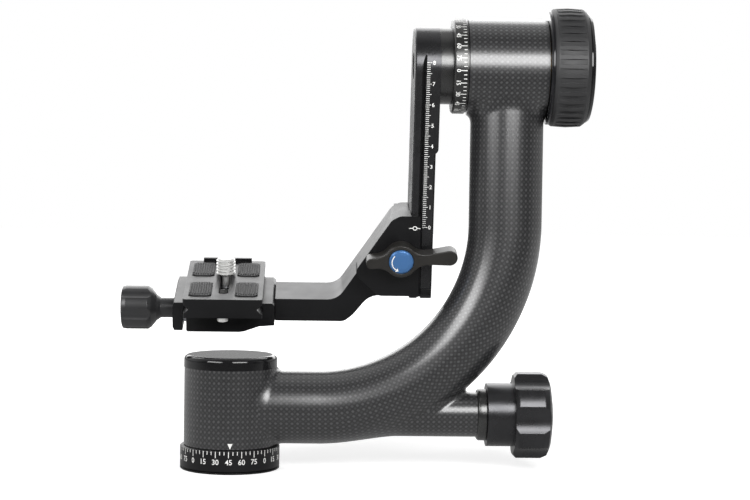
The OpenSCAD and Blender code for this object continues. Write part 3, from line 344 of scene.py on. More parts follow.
@dataclass(frozen=True)
class Plain(Finish):
    """A moulded, machined or printed finish: two close tones in soft clouds, a fine tooth that
    breaks up the gloss, and slightly rounded edges."""

    colour: str
    shade: str
    roughness: float
    metallic: float = 0.0
    tooth_mm: float = 0.3
    tooth_depth_mm: float = 0.003
    edge_mm: float = 0.25
    stretch: Triple = (1.0, 1.0, 1.0)
    clouds_per_m: float = 120.0
    # How far the clouds take the roughness down and up, between these tones of theirs
    sheen: Span = (0.0, 0.0)
    cloud_tones: Span = (0.3, 0.7)

    def sockets(self, tree: Tree) -> dict[str, Any]:
        """Wires the tooth, the clouds and the rounded edges.

        Args:
            tree: The material's node tree.

        Returns:
            What each socket of the shader gets.
        """
        spot = add(tree, "ShaderNodeTexCoord").outputs["Object"]
        drawn = add(tree, "ShaderNodeMapping", {"Vector": spot, "Scale": self.stretch})
        fine = 1 / (self.tooth_mm * MM)
        tooth = add(tree, NOISE, {"Vector": drawn, "Scale": fine, "Detail": 2.0})
        cloud = add(tree, NOISE, {"Vector": spot, "Scale": self.clouds_per_m, "Detail": 3.0})
        rounded = add(tree, "ShaderNodeBevel", {"Radius": self.edge_mm * MM}, samples=4)
        depth = {"Height": tooth, "Distance": self.tooth_depth_mm * MM, "Normal": rounded}
        tones = {0: cloud, 6: linear(self.colour), 7: linear(self.shade)}
        roughness: Any = self.roughness
        if any(self.sheen):
            ends = (self.roughness + change for change in self.sheen)
            roughness = add(tree, RANGE, span(cloud, *self.cloud_tones, *ends))
        return {
            "Base Color": add(tree, MIX, tones, data_type="RGBA").outputs[2],
            "Metallic": self.metallic,
            "Roughness": roughness,
            "Normal": add(tree, "ShaderNodeBump", depth),
        }


@dataclass(frozen=True)
class Anodised(Plain):
    """Bead-blasted and anodised aluminium: an even satin sheen with a fine grain, and worn
    edges that catch the light as a thin line."""

    colour: str = "#121213"
    shade: str = "#19191b"
    roughness: float = 0.34
    metallic: float = 0.3
    # Bead marks are about 0.1 mm; drawn at 0.35 mm so that they show at the photograph's scale
    tooth_mm: float = 0.35
    tooth_depth_mm: float = 0.004
    edge_mm: float = 0.3
    clouds_per_m: float = 90.0
    sheen: Span = (-0.04, 0.05)


@dataclass(frozen=True)
class WovenCarbon(Finish):
    """Moulded carbon fibre in a plain weave at 45 degrees under clear lacquer: squares of crossing
    tows painted light and dark as a painted sheen, with one smooth gloss over them all."""

    name: str = "woven_carbon_lacquered"
    # The light and dark tones are painted sheen: the same fibres, lit along one tow and unlit
    # across the other
    light: str = "#424243"
    dark: str = "#2f2f30"
    gap: str = "#1f1f20"
    coat_roughness: float = 0.26
    coat_ior: float = 1.75
    tow_depth_mm: float = 0.05
    # A tow dips under its neighbours by this share of its height, and keeps the rest
    dip: Span = (0.8, 0.2)
    # Heights of a tow between which the gap's colour turns into its own
    shoulder: Span = (0.15, 0.95)
    # Streaks of fibres in the tows, 1.4 mm apart so that they show, and how they vary the tone
    streaks_per_m: float = 700.0
    streak_tones: Span = (0.55, 1.45)

    def sockets(self, tree: Tree) -> dict[str, Any]:
        """Wires the tows on the shell's own weave map, whose unit is one lattice step.

        Args:
            tree: The material's node tree.

        Returns:
            What each socket of the shader gets.
        """
        parts = add(tree, PARTS, {0: add(tree, "ShaderNodeUVMap", uv_map="weave")}).outputs
        tows = [
            add(tree, MATH, {0: parts[0], 1: parts[1]}, operation=how)
            for how in ("ADD", "SUBTRACT")
        ]
        whole = [add(tree, MATH, {0: tow}, operation="FLOOR") for tow in tows]
        steps = add(tree, MATH, {0: whole[0], 1: whole[1]}, operation="ADD")
        over = add(tree, MATH, {0: steps, 1: 2.0}, operation="FLOORED_MODULO")
        crowns = []
        for tow in tows:
            part = add(tree, MATH, {0: tow}, operation="FRACT")
            turn = add(tree, MATH, {0: part, 1: math.pi}, operation="MULTIPLY")
            crowns.append(add(tree, MATH, {0: turn}, operation="SINE"))
        upper, lower = (
            add(tree, MIX, {0: over, 2: first, 3: second})
            for first, second in (crowns, crowns[::-1])
        )
        dips = {0: lower, 1: self.dip[0], 2: self.dip[1]}
        ends = add(tree, MATH, dips, operation="MULTIPLY_ADD")
        pillow = add(tree, MATH, {0: upper, 1: ends}, operation="MULTIPLY")
        edge = add(tree, RANGE, span(pillow, *self.shoulder), interpolation_type="SMOOTHSTEP")
        spot = add(tree, "ShaderNodeTexCoord").outputs["Object"]
        fibre = {"Vector": spot, "Scale": self.streaks_per_m, "Detail": 2.0}
        streak = add(tree, NOISE, fibre)
        vary = add(tree, RANGE, span(streak, 0.0, 1.0, *self.streak_tones))
        # Painted sheen: cells with one tow on top take the light tone, cells with the other on top
        # the dark tone
        tones = {0: over, 6: linear(self.dark), 7: linear(self.light)}
        sheen_tone = add(tree, MIX, tones, data_type="RGBA").outputs[2]
        gapped = {0: edge, 6: linear(self.gap), 7: sheen_tone}
        soft = add(tree, MIX, gapped, data_type="RGBA").outputs[2]
        final = add(tree, MIX, {0: 1.0, 6: soft, 7: vary}, data_type="RGBA", blend_type="MULTIPLY")
        depth = {"Height": pillow, "Distance": self.tow_depth_mm * MM}
        return {
            "Base Color": final.outputs[2],
            "Normal": add(tree, "ShaderNodeBump", depth),
            "Roughness": 0.5,
            "Specular IOR Level": 0.25,
            "Metallic": 0.15,
            "Coat Weight": 1.0,
            "Coat Roughness": self.coat_roughness,
            "Coat IOR": self.coat_ior,
        }


CARBON = WovenCarbon()
SATIN_BLACK = Anodised("anodised_aluminium_black")
BLUE = Anodised("anodised_aluminium_blue", "#406b9f", "#4b77ac", 0.3, 0.4, edge_mm=0.5)
# Polished before it was anodised: a sharp mirror with hardly any grain
POLISHED_BLACK = Anodised(
    "polished_aluminium_black", "#19191b", "#222225", 0.14, tooth_depth_mm=0.0008, edge_mm=0.5
)
# Turned and anodised bar: a bright soft band along each drum, broken by fine turning rings
TURNED_BLACK = Anodised(
    "turned_aluminium_black", "#505050", "#5e5e5d", 0.26, 0.85, 0.5, stretch=(6.0, 0.04, 0.04)
)
# Machined, blasted lightly and anodised: faces in line with a lamp light up, the rest stay black
MACHINED_BLACK = Anodised("machined_aluminium_black", "#3e3e3f", "#48484a", 0.27, 0.8, 0.3)
# Thread and screw heads of rolled, nickelled steel: pale and only half mirror
THREAD_STEEL = Plain("nickelled_steel", "#dededc", "#cfcfcd", 0.36, 0.5, tooth_depth_mm=0.001)
# The grip's rubber is the blackest mix, polished a little by hands
GRIP_RUBBER = Plain("grip_rubber", "#242425", "#2d2d2e", 0.5, tooth_depth_mm=0.006)
# Gloss black moulded acrylic: deep colour and a sharp reflection of the lamps
GLOSS_CAP = Plain("moulded_acrylic_gloss", "#131314", "#171718", 0.1, tooth_depth_mm=0.0006)
# Satin moulded nylon: the knobs' soft grey highlights
KNOB_NYLON = Plain("moulded_nylon_black", "#272728", "#2f2f30", 0.3, edge_mm=0.4)
# Cast lever with a baked coat: a brown-grey cast where light grazes its rounded edges
CAST_LEVER = Plain("baked_coat_dark", "#1e1d1c", "#282623", 0.36, edge_mm=0.4)
# Moulded rubber: matt charcoal with a dusty tooth
RUBBER = Plain("moulded_rubber", "#2b2b2c", "#353536", 0.6, tooth_depth_mm=0.008)
# Turned steel: bright metal with fine rings
STEEL = Plain("turned_steel", "#b4b5b8", "#a4a5a9", 0.26, 1.0, tooth_depth_mm=0.001)
# Sintered bronze: a dull brown-gold with open pores
BRONZE = Plain("sintered_bronze", "#8a6f43", "#7a6039", 0.4, 1.0, tooth_depth_mm=0.004)
# Screen-printed enamel: matt white, very slightly uneven
INK = Plain("screen_printed_enamel", "#e9e9e7", "#dededb", 0.5, tooth_depth_mm=0.001)

FINISHES: dict[Any, tuple[str, ...]] = {
    SATIN_BLACK: ("base_plate", "pan_dial_ring", "pan_sleeve", "tilt_sleeve", "rail_stop"),
    TURNED_BLACK: ("tilt_hub", "tilt_dial_ring", "lock_collar"),
    POLISHED_BLACK: ("tilt_knob_core",),
    GLOSS_CAP: ("pan_cap", "tilt_knob_cap"),
    KNOB_NYLON: ("clamp_knob",),
    GRIP_RUBBER: ("tilt_knob_grip",),
    THREAD_STEEL: ("plate_stop_screws",),
    BLUE: ("lever_cap",),
    BRONZE: ("brake_drum", "rod_guide", "pan_brake_shoe", "tilt_friction_washer"),
    STEEL: (
        "pan_spindle", "spindle_washer", "spindle_nut", "base_screws", "pan_bearing_lower",
        "pan_bearing_upper", "tilt_bearing_left", "tilt_bearing_right", "pan_lock_screw",
        "pan_push_rod", "tilt_shaft", "arm_screw", "tilt_pressure_plate", "tilt_end_screw",
        "lever_stud", "clamp_screws", "jaw_pins", "clamp_screw", "screw_washer",
    ),
}


def dress(node: str, finish: Finish) -> None:
    """Gives a carried-over CAD node its finish.

    Args:
        node: The node's name.
        finish: The finish to put in its material slots.
    """
    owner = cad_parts[node]
    owner.data.materials.clear()
    owner.data.materials.append(finish.material())


# Printed marks


@dataclass(frozen=True)
class Print:
    """Screen-printed marks: flat shapes that lie a hair above the face they are printed on."""

    lift: float = 0.03
    stroke: float = 0.34
    curve_steps: int = 3
    boldness: float = 0.012

    def numeral(self, text: str, height: float) -> Shape:
        """Draws a number as a flat mesh, centred at the origin in XY.

        Args:
            text: The digits.
            height: Their height in millimetres.

        Returns:
            The points and the faces.
        """
        curve = bpy.data.curves.new("numeral", "FONT")
        curve.body = text
        curve.resolution_u = self.curve_steps
        curve.offset = self.boldness
        holder = linked("numeral", curve)
        graph = bpy.context.evaluated_depsgraph_get()
        mesh = bpy.data.meshes.new_from_object(holder.evaluated_get(graph))
        points = np.array([v.co[:] for v in mesh.vertices])
        faces = [list(p.vertices) for p in mesh.polygons]
        bpy.data.objects.remove(holder)
        low, high = points.min(0), points.max(0)
        points = (points - (low + high) / 2) * height / (high[1] - low[1])
        if mesh.polygons[0].normal.z < 0:
            faces = [face[::-1] for face in faces]
        return points, faces


def inked(name: str, points: Any, faces: Any) -> Object:
    """Makes a printed mark in enamel.

    Args:
        name: The piece's name.
        points: Its points in millimetres.
        faces: Vertex numbers of each face.

    Returns:
        The mark.
    """
    piece = mesh_object(name, points, faces)
    piece.data.materials.append(INK.material())
    return piece


def tick_length(tree: Tree, ask: Any, number: Any) -> Any:
    """Adds a tick's length: long at every so many ticks, short between.

    Args:
        tree: The geometry tree.
        ask: The tree's inputs by name.
        number: The node that counts the ticks.

    Returns:
        The node that holds the length.
    """
    rest = add(tree, MATH, {0: number, 1: ask["Every"]}, operation="FLOORED_MODULO")
    is_long = add(tree, MATH, {0: rest, 1: 0.5}, operation="LESS_THAN")
    return add(tree, MIX, {0: is_long, 2: ask["Short"], 3: ask["Long"]}, data_type="FLOAT")


def round_ticks(name: str, lengths: dict[str, float], others: dict[str, Any]) -> Object:
    """Makes a dial's ticks: one every step round +Z, some of them longer.

    Args:
        name: The piece's name.
        lengths: Radius, Top, Short, Long and Stroke in millimetres.
        others: Count, Every and the angle Start.

    Returns:
        The ticks.
    """
    rule = Rule("dial_ticks", INK, lengths, others)
    tree, ask = rule.tree, rule.ask
    ring = add(tree, "GeometryNodeMeshCircle", {"Vertices": ask["Count"], "Radius": ask["Radius"]})
    sides = {"Size X": ask["Stroke"], "Size Y": 1.0, "Vertices X": 2, "Vertices Y": 2}
    bar = add(tree, GRID, sides)
    upright = (math.pi / 2, 0.0, 0.0)
    hung = add(tree, MOVE, {0: bar, "Translation": (0.0, 0.0, -0.5), "Rotation": upright})
    number = add(tree, "GeometryNodeInputIndex")
    size = add(tree, VECTOR, {0: 1.0, 1: 1.0, 2: tick_length(tree, ask, number)})
    share = add(tree, MATH, {0: number, 1: ask["Count"]}, operation="DIVIDE")
    turns = {0: share, 1: math.tau, 2: math.pi / 2}
    turn = add(tree, VECTOR, {2: add(tree, MATH, turns, operation="MULTIPLY_ADD")})
    ticks = add(
        tree, COPIES, {"Points": ring, "Instance": hung, "Rotation": turn, "Scale": size}
    )
    rise = add(tree, VECTOR, {2: ask["Top"]})
    start = add(tree, VECTOR, {2: ask["Start"]})
    return rule.grow(name, add(tree, MOVE, {0: ticks, "Translation": rise, "Rotation": start}))


def straight_ticks(name: str, lengths: dict[str, float], others: dict[str, Any]) -> Object:
    """Makes a ruler's ticks: one every step along +Y, reaching from x = 0.

    Args:
        name: The piece's name.
        lengths: Pitch, Short, Long and Stroke in millimetres.
        others: Count and Every.

    Returns:
        The ticks.
    """
    rule = Rule("ruler_ticks", INK, lengths, others)
    tree, ask = rule.tree, rule.ask
    step = add(tree, VECTOR, {1: ask["Pitch"]})
    line = add(tree, "GeometryNodeMeshLine", {"Count": ask["Count"], "Offset": step})
    sides = {"Size X": 1.0, "Size Y": ask["Stroke"], "Vertices X": 2, "Vertices Y": 2}
    hung = add(tree, MOVE, {0: add(tree, GRID, sides), "Translation": (0.5, 0.0, 0.0)})
    length = tick_length(tree, ask, add(tree, "GeometryNodeInputIndex"))
    size = add(tree, VECTOR, {0: length, 1: 1.0, 2: 1.0})
    return rule.grow(name, add(tree, COPIES, {"Points": line, "Instance": hung, "Scale": size}))


@dataclass
class Dial:
    """A degree scale printed round a ring, numbered 0 to 75 four times."""

    name: str
    body: Body
    frame_of: Matrix
    radius: float
    top: float
    short: float
    numeral_z: float
    numeral_h: float
    zero_deg: float
    long: float = 3.0
    step_deg: int = 15
    tick_deg: int = 5
    printed: Print = Print()

    def build(self) -> None:
        """Prints the ticks and the numbers on the ring."""
        radius = self.radius + self.printed.lift
        lengths = {
            "Radius": radius,
            "Top": self.top,
            "Short": self.short,
            "Long": self.long,
            "Stroke": self.printed.stroke,
        }
        others = {
            "Count": 360 // self.tick_deg,
            "Every": self.step_deg // self.tick_deg,
            "Start": math.radians(self.zero_deg),
        }
        ticks = round_ticks(f"{self.name}_ticks", lengths, others)
        carry(ticks, self.frame_of)
        place(ticks, self.body, Slot.BLACK)
        parts = []
        for value in range(0, 360, self.step_deg):
            points, faces = self.printed.numeral(str(value % 90), self.numeral_h)
            angle = math.radians(self.zero_deg + value) + points[:, 0] / radius
            height = self.numeral_z + points[:, 1]
            wrapped = np.stack([radius * np.cos(angle), radius * np.sin(angle), height], axis=1)
            parts.append((turned(wrapped, self.frame_of), faces))
        place(inked(f"{self.name}_numbers", *joined(parts)), self.body, Slot.BLACK)


# The yoke


def blended(a: np.ndarray, b: np.ndarray, radius: float) -> np.ndarray:
    """Joins two distances with a round concave blend.

    Args:
        a: Signed distance to the first form.
        b: Signed distance to the second form.
        radius: The blend's radius.

    Returns:
        The signed distance to the blended union.
    """
    inside = np.hypot(np.maximum(radius - a, 0), np.maximum(radius - b, 0))
    return np.maximum(radius, np.minimum(a, b)) - inside


@dataclass
class YokeShell:
    """The one-piece carbon yoke: pan housing, bent tube, cross tube and lock boss, with the
    moulded blends where they meet. All sizes are in millimetres."""

    tube_r: float = 17.4
    lower_z: float = 29.2
    upright_x: float = 130.1
    bend_r: float = 88.5
    tilt_z: float = TILT_Z
    housing_r: float = 22.0
    housing_z: Span = (11.5, 48.4)
    cross_r: float = 22.4
    cross_x: Span = (110.4, 147.9)
    boss_r: float = 10.7
    boss_z: float = 26.4
    boss_end: float = 117.6
    wall: float = 2.2
    housing_blend: float = 3.0
    cross_blend: float = 4.5
    boss_blend: float = 3.0
    # The rough solids reach past the square ends by this much, and the cuts take it off
    spare: float = 2.5
    voxel: float = 1.0
    # Limits in X and in Z of the faces that the cuts of each part may touch
    housing_zone: tuple[Span, Span] = ((-math.inf, 34.0), (-math.inf, 60.0))
    cross_zone: tuple[Span, Span] = ((-math.inf, math.inf), (160.0, math.inf))
    boss_zone: tuple[Span, Span] = ((-math.inf, math.inf), (-math.inf, 40.0))
    # Sides of the swept tube and of the straight drums, and steps of the bend
    tube_sides: int = 64
    drum_sides: int = 96
    bend_steps: int = 96
    # The weave's step along a tube, and how many go round tube, housing, cross tube and boss
    lattice: float = 2.58
    repeats: tuple[int, int, int, int] = (46, 60, 58, 28)

    @property
    def bend_x(self) -> float:
        """Where the bend starts."""
        return self.upright_x - self.bend_r

    @property
    def bend_z(self) -> float:
        """Height of the bend's centre."""
        return self.lower_z + self.bend_r

    def path_place(self, p: np.ndarray) -> tuple[np.ndarray, np.ndarray]:
        """Finds where points lie along the bent tube and how far outside the bend's line.

        Args:
            p: Points in millimetres.

        Returns:
            The distance along the path and the offset away from the bend's centre.
        """
        dx, dz = p[:, 0] - self.bend_x, p[:, 2] - self.bend_z
        turn = np.clip(np.arctan2(dx, -dz), 0.0, math.pi / 2)
        lower, upper = dx < 0, (dx >= 0) & (dz > 0)
        along = np.where(lower, p[:, 0], self.bend_x + self.bend_r * turn)
        along = np.where(upper, self.bend_x + self.bend_r * math.pi / 2 + dz, along)
        out = np.where(lower, self.lower_z - p[:, 2], np.hypot(dx, dz) - self.bend_r)
        return along, np.where(upper, p[:, 0] - self.upright_x, out)

    def parts(self, p: np.ndarray) -> list[np.ndarray]:
        """Measures how far points lie outside each of the four parts.

        Args:
            p: Points in millimetres.

        Returns:
            The signed distances to the tube, the housing, the cross tube and the boss.
        """
        _, out = self.path_place(p)
        tube = np.maximum(np.hypot(out, p[:, 1]) - self.tube_r, -p[:, 0])
        boss = np.hypot(p[:, 1], p[:, 2] - self.boss_z) - self.boss_r
        return [
            np.maximum(tube, p[:, 2] - self.tilt_z),
            np.hypot(p[:, 0], p[:, 1]) - self.housing_r,
            np.hypot(p[:, 1], p[:, 2] - self.tilt_z) - self.cross_r,
            np.maximum(boss, self.bend_x - p[:, 0]),
        ]

    def distance(self, p: np.ndarray) -> np.ndarray:
        """Measures how far points lie outside the blended shell.

        Args:
            p: Points in millimetres.

        Returns:
            Their signed distances.
        """
        tube, housing, cross, boss = self.parts(p)
        whole = blended(tube, housing, self.housing_blend)
        whole = blended(whole, boss, self.boss_blend)
        return blended(whole, cross, self.cross_blend)

    def slope(self, p: np.ndarray, step: float = 0.01) -> np.ndarray:
        """Measures the gradient of the distance by central differences."""
        rows = [self.distance(p + way) - self.distance(p - way) for way in np.eye(3) * step]
        return np.stack(rows, axis=1) / (2 * step)

    def solids(self, lengths: dict[str, float], counts: dict[str, int]) -> Object:
        """Sweeps the bent tube and joins the straight tubes to it.

        Args:
            lengths: The sizes of the tubes in millimetres.
            counts: Their sides and the steps of the bend.

        Returns:
            The joined solids.
        """
        rule = Rule("yoke_solids", CARBON, lengths, counts)
        tree, ask = rule.tree, rule.ask
        bend_r, bend_x, lower_z = ask["Bend Radius"], ask["Bend X"], ask["Lower Z"]
        centre_z = add(tree, MATH, {0: lower_z, 1: bend_r}, operation="ADD")
        head_z = add(tree, MATH, {0: centre_z, 1: ask["Rise"]}, operation="ADD")
        top_x = add(tree, MATH, {0: bend_x, 1: bend_r}, operation="ADD")
        start = add(tree, VECTOR, {2: lower_z})
        bend = add(tree, VECTOR, {0: bend_x, 2: lower_z})
        centre = add(tree, VECTOR, {0: bend_x, 2: centre_z})
        foot = add(tree, VECTOR, {0: top_x, 2: centre_z})
        head = add(tree, VECTOR, {0: top_x, 2: head_z})
        quarter = math.pi / 2
        turn = {"Start Angle": -quarter, "Sweep Angle": quarter}
        arc = {"Resolution": ask["Bend Steps"], "Radius": bend_r, **turn}
        upright = {"Rotation": (quarter, 0.0, 0.0), "Translation": centre}
        line = "GeometryNodeCurvePrimitiveLine"
        round_ = {"Resolution": ask["Tube Sides"], "Radius": ask["Tube Radius"]}
        profile = add(tree, "GeometryNodeCurvePrimitiveCircle", round_)
        join = add(tree, "GeometryNodeJoinGeometry")
        for path in (
            add(tree, line, {0: start, 1: bend}),
            add(tree, MOVE, {0: add(tree, "GeometryNodeCurveArc", arc), **upright}),
            add(tree, line, {0: foot, 1: head}),
        ):
            sweep = {"Curve": path, "Profile Curve": profile, "Fill Caps": True}
            swept = add(tree, "GeometryNodeCurveToMesh", sweep)
            tree.links.new(swept.outputs[0], join.inputs[0])
        level = (0.0, quarter, 0.0)
        for part, lean, x, z in (
            ("Housing", (0.0, 0.0, 0.0), 0.0, ask["Housing Middle"]),
            ("Cross", level, ask["Cross X"], ask["Cross Z"]),
            ("Boss", level, ask["Boss X"], ask["Boss Z"]),
        ):
            sizes = {"Radius": ask[f"{part} Radius"], "Depth": ask[f"{part} Length"]}
            sizes["Vertices"] = ask["Drum Sides"]
            drum = add(tree, "GeometryNodeMeshCylinder", sizes)
            spot = add(tree, VECTOR, {0: x, 2: z})
            moved = add(tree, MOVE, {0: drum, "Rotation": lean, "Translation": spot})
            tree.links.new(moved.outputs[0], join.inputs[0])
        return rule.grow("yoke_shell", join)

    def rough(self) -> Object:
        """Joins the solids and skins them in one even mesh.

        Returns:
            The skinned object, still without blends.
        """
        boss_length = self.boss_end + self.spare - self.bend_x
        lengths = {
            "Tube Radius": self.tube_r,
            "Bend Radius": self.bend_r,
            "Bend X": self.bend_x,
            "Lower Z": self.lower_z,
            "Rise": self.tilt_z - self.bend_z,
            "Housing Radius": self.housing_r,
            "Housing Length": self.housing_z[1] - self.housing_z[0] + 2 * self.spare,
            "Housing Middle": sum(self.housing_z) / 2,
            "Cross Radius": self.cross_r,
            "Cross Length": self.cross_x[1] - self.cross_x[0] + 2 * self.spare,
            "Cross X": sum(self.cross_x) / 2,
            "Cross Z": self.tilt_z,
            "Boss Radius": self.boss_r,
            "Boss Length": boss_length,
            "Boss X": self.bend_x + boss_length / 2,
            "Boss Z": self.boss_z,
        }
        counts = {
            "Tube Sides": self.tube_sides,
            "Drum Sides": self.drum_sides,
            "Bend Steps": self.bend_steps,
        }
        piece = self.solids(lengths, counts)
        skin = piece.modifiers.new("skin", "REMESH")
        skin.mode = "VOXEL"
        skin.voxel_size = self.voxel * MM
        return settle(piece)

    def trimmed(self, piece: Object, passes: int = 10, least: float = 0.2) -> Shape:
        """Draws the skin onto the blended form and cuts its open ends square.

        Args:
            piece: The rough skin.
            passes: How often its points step towards the form.
            least: The smallest squared slope that a step divides by.

        Returns:
            The outer wall's points and faces.
        """
        mesh = piece.data
        flat = np.empty(len(mesh.vertices) * 3)
        mesh.vertices.foreach_get("co", flat)
        p = flat.reshape(-1, 3) / MM
        for _ in range(passes):
            g = self.slope(p)
            size = np.maximum((g * g).sum(1), least)
            p = p - g * (self.distance(p) / size)[:, None]
        mesh.vertices.foreach_set("co", (p * MM).ravel())
        shell = bmesh.new()
        shell.from_mesh(mesh)
        for spot, normal, zone in (
            ((0, 0, self.housing_z[0]), (0, 0, -1), self.housing_zone),
            ((0, 0, self.housing_z[1]), (0, 0, 1), self.housing_zone),
            ((self.cross_x[0], 0, 0), (-1, 0, 0), self.cross_zone),
            ((self.cross_x[1], 0, 0), (1, 0, 0), self.cross_zone),
            ((self.boss_end, 0, 0), (1, 0, 0), self.boss_zone),
        ):
            middles = ((f, f.calc_center_median()) for f in shell.faces)
            chosen = [
                f for f, c in middles
                if all(low * MM < part < high * MM for part, (low, high) in zip(c.xz, zone))
            ]
            around = [e for f in chosen for e in f.edges] + [v for f in chosen for v in f.verts]
            bmesh.ops.bisect_plane(
                shell, geom=list(dict.fromkeys(around)) + chosen, plane_co=Vector(spot) * MM,
                plane_no=normal, clear_outer=True, dist=1e-7,
            )
        shell.verts.index_update()
        points = np.array([v.co[:] for v in shell.verts]) / MM
        faces = [[v.index for v in f.verts] for f in shell.faces]
        shell.free()
        return points, faces

    def polar(self, p: np.ndarray) -> tuple[np.ndarray, np.ndarray]:
        """Finds where points lie round and along each of the four parts.

        Args:
            p: Points in millimetres.

        Returns:
            The angles round the parts' axes and the distances along them.
        """
        along, out = self.path_place(p)
        across = (out, p[:, 0], p[:, 2] - self.tilt_z, p[:, 2] - self.boss_z)
        angle = np.stack([np.arctan2(p[:, 1], other) for other in across])
        return angle, np.stack([along, p[:, 2], p[:, 0], p[:, 0]])

    def weave_map(self, points: np.ndarray, faces: list[list[int]]) -> np.ndarray:
        """Lays the weave's lattice on each face, one whole number of repeats round each tube.

        Args:
            points: The outer wall's points.
            faces: Its faces.

        Returns:
            One pair of lattice coordinates per face corner.
        """
        centre = np.array([points[face].mean(0) for face in faces])
        region = np.argmin(np.abs(np.stack(self.parts(centre))), axis=0)
        corner_face = np.repeat(np.arange(len(faces)), [len(f) for f in faces])
        face_angle = self.polar(centre)[0][region, np.arange(len(faces))][corner_face]
        which = region[corner_face]
        rows = np.arange(len(corner_face))
        angle, along = (part[which, rows] for part in self.polar(points[np.concatenate(faces)]))
        angle = face_angle + (angle - face_angle + math.pi) % math.tau - math.pi
        rounds = np.array(self.repeats)[which]
        return np.stack([angle / math.tau * rounds, along / self.lattice], axis=1)

    def build(self) -> None:
        """Builds the shell with its inner wall and rims, and rides it on the yoke."""
        piece = self.rough()
        points, faces = self.trimmed(piece)
        old = piece.data
        bpy.data.objects.remove(piece)
        bpy.data.meshes.remove(old)
        normals = self.slope(points)
        normals /= np.linalg.norm(normals, axis=1)[:, None]
        weave = self.weave_map(points, faces)
        count = len(points)
        inner = [[i + count for i in face[::-1]] for face in faces]
        # An edge that no second face runs back along lies on a rim
        edges: dict[tuple[int, int], None] = {}
        for face in faces:
            for a, b in zip(face, face[1:] + face[:1]):
                if (b, a) in edges:
                    del edges[(b, a)]
                else:
                    edges[(a, b)] = None
        rims = np.array([[b, a, a + count, b + count] for a, b in edges])
        walls = np.concatenate([points, points - normals * self.wall])
        shell = mesh_object("yoke_shell", walls, faces + inner + rims.tolist(), smooth=True)
        splits = np.cumsum([len(f) for f in faces])[:-1]
        flipped = np.concatenate([part[::-1] for part in np.split(weave, splits)])
        layer = shell.data.uv_layers.new(name="weave")
        uv = np.concatenate([weave, flipped, np.zeros((rims.size, 2))])
        layer.data.foreach_set("uv", uv.ravel())
        first, second, third = (walls[rims[:, i]] for i in range(3))
        across = np.cross(second - first, third - second)
        across /= np.maximum(np.linalg.norm(across, axis=1), 1e-9)[:, None]
        shading = [
            normals[np.concatenate(faces)],
            -normals[np.concatenate(inner) - count],
            np.repeat(across, 4, axis=0),
        ]
        shell.data.normals_split_custom_set(np.concatenate(shading).tolist())
        shell.data.materials.append(CARBON.material())
        place(shell, Body.YOKE, Slot.CARBON, "yoke_tube")


# Machined and moulded parts


def soften(shape: bmesh.types.BMesh, limit_deg: float) -> None:
    """Marks each edge smooth unless its faces turn by more than the limit."""
    for edge in shape.edges:
        edge.smooth = not edge.is_manifold or edge.calc_face_angle() < math.radians(limit_deg)


@dataclass(frozen=True)
class Eased:
    """A machined part copied from its CAD node, with its sharp edges broken as a deburred and
    blasted part has them, so that they catch a thin line of light."""

    name: str
    node: str
    body: Body
    finish: Finish = SATIN_BLACK
    width: float = 0.35
    sharp_deg: float = 30.0
    smooth_deg: float = 28.0
    flat_deg: float = 0.6
    segments: int = 2

    def build(self) -> None:
        """Copies, merges and eases the node's mesh, and stands for the node."""
        shape = bmesh.new()
        shape.from_mesh(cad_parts[self.node].data)
        bmesh.ops.remove_doubles(shape, verts=shape.verts, dist=MERGE)
        flat = math.radians(self.flat_deg)
        bmesh.ops.dissolve_limit(shape, angle_limit=flat, verts=shape.verts, edges=shape.edges)
        limit = math.radians(self.sharp_deg)
        sharp = [e for e in shape.edges if e.is_manifold and e.calc_face_angle() > limit]
        bmesh.ops.bevel(
            shape, geom=sharp, offset=self.width * MM, offset_type="OFFSET",
            segments=self.segments, profile=0.5, affect="EDGES", clamp_overlap=True,
        )
        for face in shape.faces:
            face.smooth = True
        soften(shape, self.smooth_deg)
        mesh = bpy.data.meshes.new(self.name)
        shape.to_mesh(mesh)
        shape.free()
        piece = linked(self.name, mesh)
        mesh.materials.append(self.finish.material())
        piece.modifiers.new("weighted", "WEIGHTED_NORMAL").keep_sharp = True
        place(settle(piece), self.body, Slot.BLACK, self.node)


